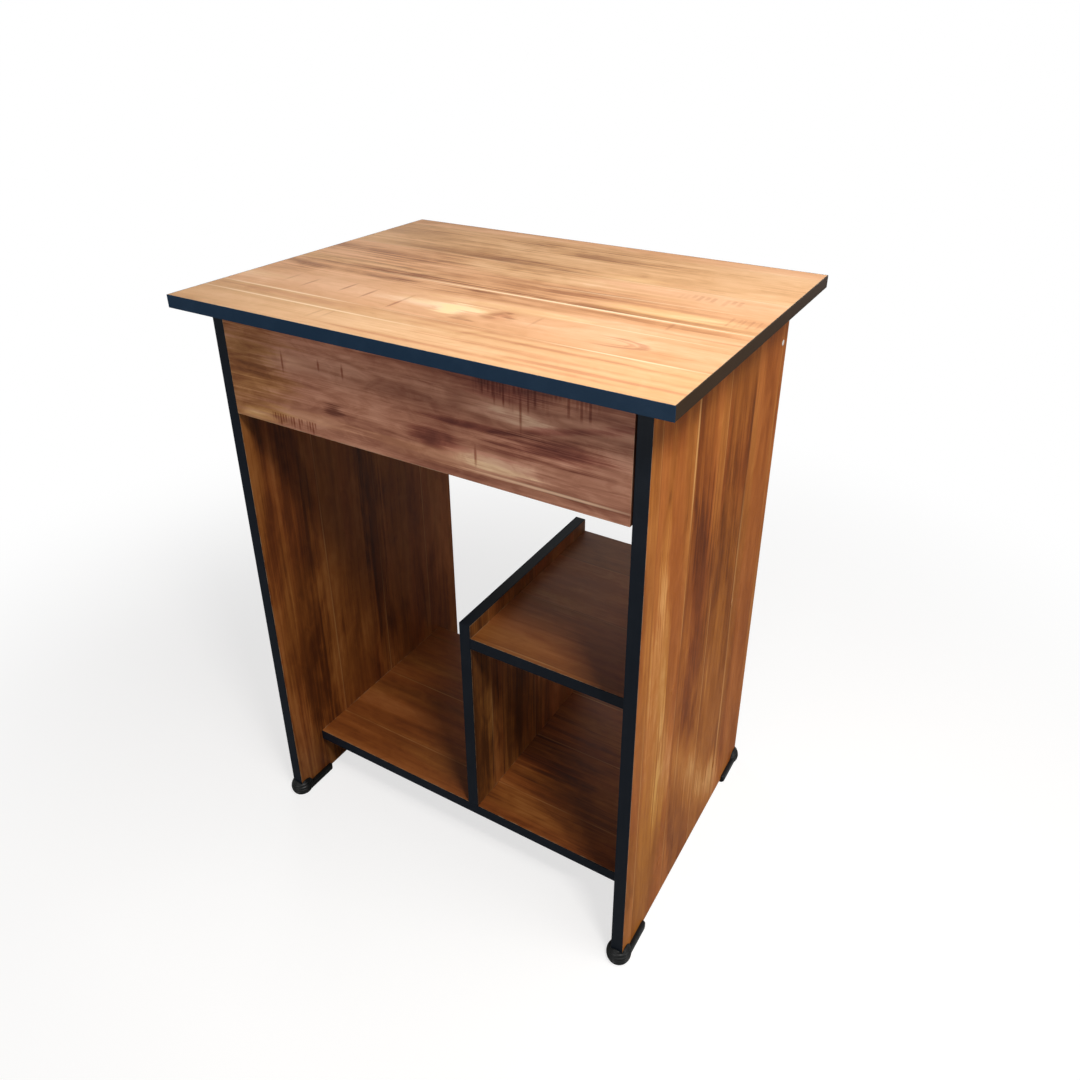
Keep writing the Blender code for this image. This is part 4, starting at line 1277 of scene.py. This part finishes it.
@dataclass
class Feet(SubAssembly):
    """The four shoe-shaped feet: a ribbed ball nose and a low channel.

    The foot is made with its nose to -Y and the panel's edge at Y = 0.
    """

    nose: float = 15.4 * MM  # the radius of the ball nose
    nose_height: float = 8.0 * MM  # the height of the ball's middle
    setback: float = 7.5 * MM  # how far the ball's middle is behind the panel's edge
    length: float = 60.0 * MM  # how far the channel runs back from the panel's edge
    half_width: float = 12.7 * MM  # half the width of the channel
    lip: float = 10.5 * MM  # the height of the channel's walls
    slot: float = 7.7 * MM  # half the width of the slot
    floor: float = 3.7 * MM  # the height of the slot's floor
    rib_pitch: float = 4.0 * MM  # the step from groove to groove on the nose
    rib_lowest: float = 2.0 * MM  # the height of the lowest groove
    rib_depth: float = 1.2 * MM  # how deep a groove is
    rib_half: float = 1.2 * MM  # half the width of a groove
    rim: float = 1.1 * MM  # the wall left at the top of the nose
    round: float = 1.8 * MM  # the radius of the walls' tops
    taper: float = 5.0 * MM  # over which length the channel's rear end is rounded
    narrowing: float = 3.2 * MM  # how much narrower on each side that end gets
    drop: float = 3.0 * MM  # how much lower it gets

    def build(self) -> None:
        """Build a foot for each corner of the side panels."""
        front = self.shape()
        rear = front.turned_by(Matrix.Rotation(math.pi, 3, "Z"))
        for side, _ in SIDES:
            low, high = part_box("side_panel_" + side)
            band_low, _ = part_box("side_band_" + side)
            for end, foot, edge in (("front", front, band_low.y), ("rear", rear, high.y)):
                name = f"foot_{side}_{end}"
                placed = foot.moved(((low.x + high.x) / 2, edge, 0))
                self.piece(name + "_shoe", placed, FOOT.material(), Body.CARCASS, Slot.PLASTIC, name, 50.0)

    def shape(self) -> Shape:
        """Return the foot as a section carried round a U-shaped path.

        Each section stands upright on a point of the path's spine and looks
        out from it. Its outer side is the larger of the ball with its grooves
        and the channel's wall, level by level. From the rim it drops down the
        slot's wall to the slot's floor and back to the spine.

        Returns:
            The closed shape.
        """
        run = self.setback + np.linspace(0, 1, 34) ** 1.25 * (self.length - self.setback)
        swing = np.radians(np.linspace(90, 0, 25))[1:-1]
        right = np.full(len(run), math.pi / 2)
        spine = np.concatenate((run[::-1], np.full(2 * len(swing) + 1, self.setback), run))
        turn = np.concatenate((right, swing, [0.0], -swing[::-1], -right))
        behind = spine - self.setback
        slot_side = self.slot / np.maximum(np.abs(np.sin(turn)), 1e-6)
        slot_front = (self.setback + 0.2 * MM) / np.maximum(np.cos(turn), 1e-6)
        slot = np.minimum(slot_side, slot_front)[:, None]

        ended = np.clip((spine - self.length) / self.taper + 1, 0, 1)
        ease = 1 - np.sqrt(1 - 0.96 * ended**2)
        channel = (self.half_width - self.narrowing * ease)[:, None]
        lip = (self.lip - self.drop * ease)[:, None]
        has_channel = (np.abs(np.abs(turn) - math.pi / 2) < 1e-6)[:, None]

        level = np.linspace(0, self.nose_height + self.nose, 68)[None, :]
        slice_square = np.maximum(self.nose**2 - behind**2, 0)[:, None]
        in_ball = slice_square > (slot + self.rim) ** 2
        ball_top = self.nose_height + np.sqrt(np.maximum(slice_square - (slot + self.rim) ** 2, 0))
        top = np.where(in_ball, ball_top, 0)
        top = np.where(has_channel, np.maximum(top, lip), top)
        height = np.minimum(level, top)
        ball = np.sqrt(np.maximum(slice_square - (height - self.nose_height) ** 2, 0))
        phase = (height - self.rib_lowest) / self.rib_pitch
        off_rib = np.abs(phase - np.round(phase)) * self.rib_pitch
        groove = self.rib_depth * np.clip(1 - off_rib / self.rib_half, 0, 1) ** 0.9
        ball = np.maximum(ball - groove * np.clip(ball / self.nose, 0, 1), slot + 0.3 * MM * in_ball)
        sole_chamfer = MM * np.clip(1 - height / MM, 0, 1) ** 2
        round_top = np.clip(1 - (lip - height) / self.round, 0, 1)
        wall = channel - sole_chamfer - self.round * (1 - np.sqrt(1 - round_top**2 * 0.98))
        wall = np.where((height <= lip + 1e-7) & has_channel, wall, 0)
        outer = np.maximum(np.maximum(ball, wall), slot)

        nothing = np.zeros_like(slot)
        floor = nothing + self.floor
        rim = 0.5 * (outer[:, -1:] + slot)
        width = np.hstack((nothing, outer[:, :1] * 0.6, outer, rim, slot, slot, slot, slot * 0.5, nothing))
        down = (top + 0.02 * MM, top - 0.25 * MM, (top + self.floor) / 2, floor, floor, floor)
        tall = np.hstack((nothing, nothing, height, *down))
        y = spine[:, None] - width * np.cos(turn)[:, None]
        points = np.stack((width * np.sin(turn)[:, None], y, tall), axis=-1)
        rows, columns = width.shape
        index = np.arange(rows * columns).reshape(rows, columns)
        quads = np.stack((index[:-1, :-1], index[1:, :-1], index[1:, 1:], index[:-1, 1:]), axis=-1)
        end = np.concatenate((index[0], index[-1, ::-1]))
        faces = [tuple(quad) for quad in quads.reshape(-1, 4).tolist()] + [tuple(end.tolist())]
        return Shape(points.reshape(-1, 3), tuple(faces))


@dataclass(frozen=True)
class Lamp:
    """A square lamp of the studio."""

    name: str
    place: Triple
    target: Triple  # what it looks at
    size: float  # the length of its sides
    power: float  # in watts
    colour: Triple = (1.0, 0.98, 0.97)

    def hang(self) -> None:
        """Hang the lamp in the scene."""
        data = bpy.data.lights.new(self.name, "AREA")
        data.size, data.energy, data.color = self.size, self.power, self.colour
        made = bpy.data.objects.new(self.name, data)
        made.location = self.place
        aim = Vector(self.target) - Vector(self.place)
        made.rotation_euler = aim.to_track_quat("-Z", "Y").to_euler()
        bpy.context.scene.collection.objects.link(made)


WARM = (1.0, 0.97, 0.93)
LAMPS = (
    Lamp("key_light", (1.02, -0.82, 2.02), (0.0, 0.0, 0.45), 0.30, 17.0, WARM),
    Lamp("side_light", (2.25, 0.05, 0.45), (0.2, 0.0, 0.30), 0.90, 13.0, WARM),
    Lamp("front_light", (-0.30, -2.70, 0.40), (0.0, 0.0, 0.45), 0.90, 20.0),
    Lamp("top_light", (0.62, -0.22, 1.62), (0.1, -0.1, 0.75), 0.60, 11.8, (1.0, 0.98, 0.95)),
    Lamp("back_light", (0.60, 2.30, 1.05), (0.1, 0.0, 0.40), 0.90, 4.0),
    Lamp("left_light", (-1.90, 1.50, 0.45), (-0.1, 0.1, 0.40), 0.90, 16.0),
)


@dataclass
class Studio:
    """Floor, world and camera."""

    eye: Triple = (0.5433, -0.8378, 1.0349)  # the camera's place
    right: Triple = (0.8645, 0.5026, 0.0039)  # the picture's own right in the table's frame
    up: Triple = (-0.2324, 0.3929, 0.8897)  # the picture's own up in the table's frame
    lens: float = 29.85  # the focal length in millimetres on a 36 mm frame
    shift: tuple[float, float] = (-0.0133, -0.0689)  # in picture widths
    world_soft: float = 0.05  # how strong the world's plain light is
    gloss_share: float = 0.60  # how white the world is to glossy rays
    floor_reach: float = 30.0  # how far the floor runs each way
    floor_height: float = -0.2 * MM  # just under the feet, so that they don't meet
    floor_glow: float = 0.70  # how strongly the floor glows to the camera, over its light
    seen_fade: tuple[float, float] = (0.55, 1.40)  # between which distances it turns white to the camera
    gloss_fade: tuple[float, float] = (2.60, 5.00)  # and to glossy rays

    def build(self) -> None:
        """Make the camera, the lights, the world and the floor."""
        self.camera()
        for lamp in LAMPS:
            lamp.hang()
        self.world()
        self.floor()

    def camera(self) -> None:
        """Set the camera where the photograph was taken from."""
        data = bpy.data.cameras.new("camera")
        data.lens, data.sensor_width, data.clip_start = self.lens, 36.0, 0.02
        data.shift_x, data.shift_y = self.shift
        made = bpy.data.objects.new("camera", data)
        bpy.context.scene.collection.objects.link(made)
        right = Vector(self.right).normalized()
        back = right.cross(Vector(self.up)).normalized()
        turn = Matrix((right, back.cross(right), back)).transposed()
        made.matrix_world = Matrix.Translation(self.eye) @ turn.to_4x4()
        bpy.context.scene.camera = made

    def rays(self, g: Graph) -> tuple[Wire, Wire]:
        """Return masks of the rays that see straight or through glass, and of glossy rays."""
        path, kinds = g.node("LightPath", {}).outputs, ("Camera", "Transmission", "Glossy")
        camera, through, glossy = (Wire(g, path[f"Is {kind} Ray"]) for kind in kinds)
        return g.most(camera, through), glossy

    def world(self) -> None:
        """Make a soft world that is white to the camera and a share of that in gloss."""
        bpy.context.scene.world = bpy.data.worlds.new("studio")
        g = Graph(bpy.context.scene.world)
        direct, glossy = self.rays(g)
        seen = g.sum("ADD", glossy * self.gloss_share, direct, clamp=True)
        soft = g.wire("Background", {"Color": (0.95, 0.97, 1.0), "Strength": self.world_soft})
        white = g.wire("Background", {"Color": (1.0, 1.0, 1.0)})
        g.node("OutputWorld", {0: g.wire("MixShader", {0: seen, 1: soft, 2: white})})

    def floor(self) -> None:
        """Lay a large pale floor that takes the table's shadow, and is plain white far from it."""
        mesh = bpy.data.meshes.new("floor")
        ways = ((-1, -1), (1, -1), (1, 1), (-1, 1))
        corners = [(x * self.floor_reach, y * self.floor_reach, self.floor_height) for x, y in ways]
        mesh.from_pydata(corners, [], [(0, 1, 2, 3)])
        g = Graph(bpy.data.materials.new("pale_floor"))
        direct, glossy = self.rays(g)
        x, y, _ = g.place()
        away = g.sum("SQRT", x * x + y * y)
        far = g.spread(away, *self.seen_fade) * direct + g.spread(away, *self.gloss_fade) * glossy
        near = g.wire("BsdfDiffuse", {"Color": g.blend(direct, (0.34, 0.34, 0.34), (0.38, 0.38, 0.38))})
        lit = g.wire("AddShader", {0: near, 1: g.wire("Emission", {"Strength": direct * self.floor_glow})})
        g.node("OutputMaterial", {0: g.wire("MixShader", {0: far, 1: lit, 2: g.wire("Emission", {})})})
        mesh.materials.append(g.owner)
        made = bpy.data.objects.new("floor", mesh)
        bpy.context.scene.collection.objects.link(made)


def main() -> None:
    """Build the table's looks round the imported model."""
    logging.basicConfig(level=logging.INFO, format="%(name)s: %(message)s")
    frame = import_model()
    nodes = frame["nodes"]
    bpy.context.scene.view_settings.view_transform = "Standard"
    Studio().build()
    prints = Boards(nodes).build()
    EdgeTapes(nodes).build()
    Drawer(nodes).build()
    Slides(nodes).build()
    Connectors(nodes, prints).build()
    CamFittings(nodes).build()
    Feet(nodes).build()


if __name__ == "__main__":
    main()
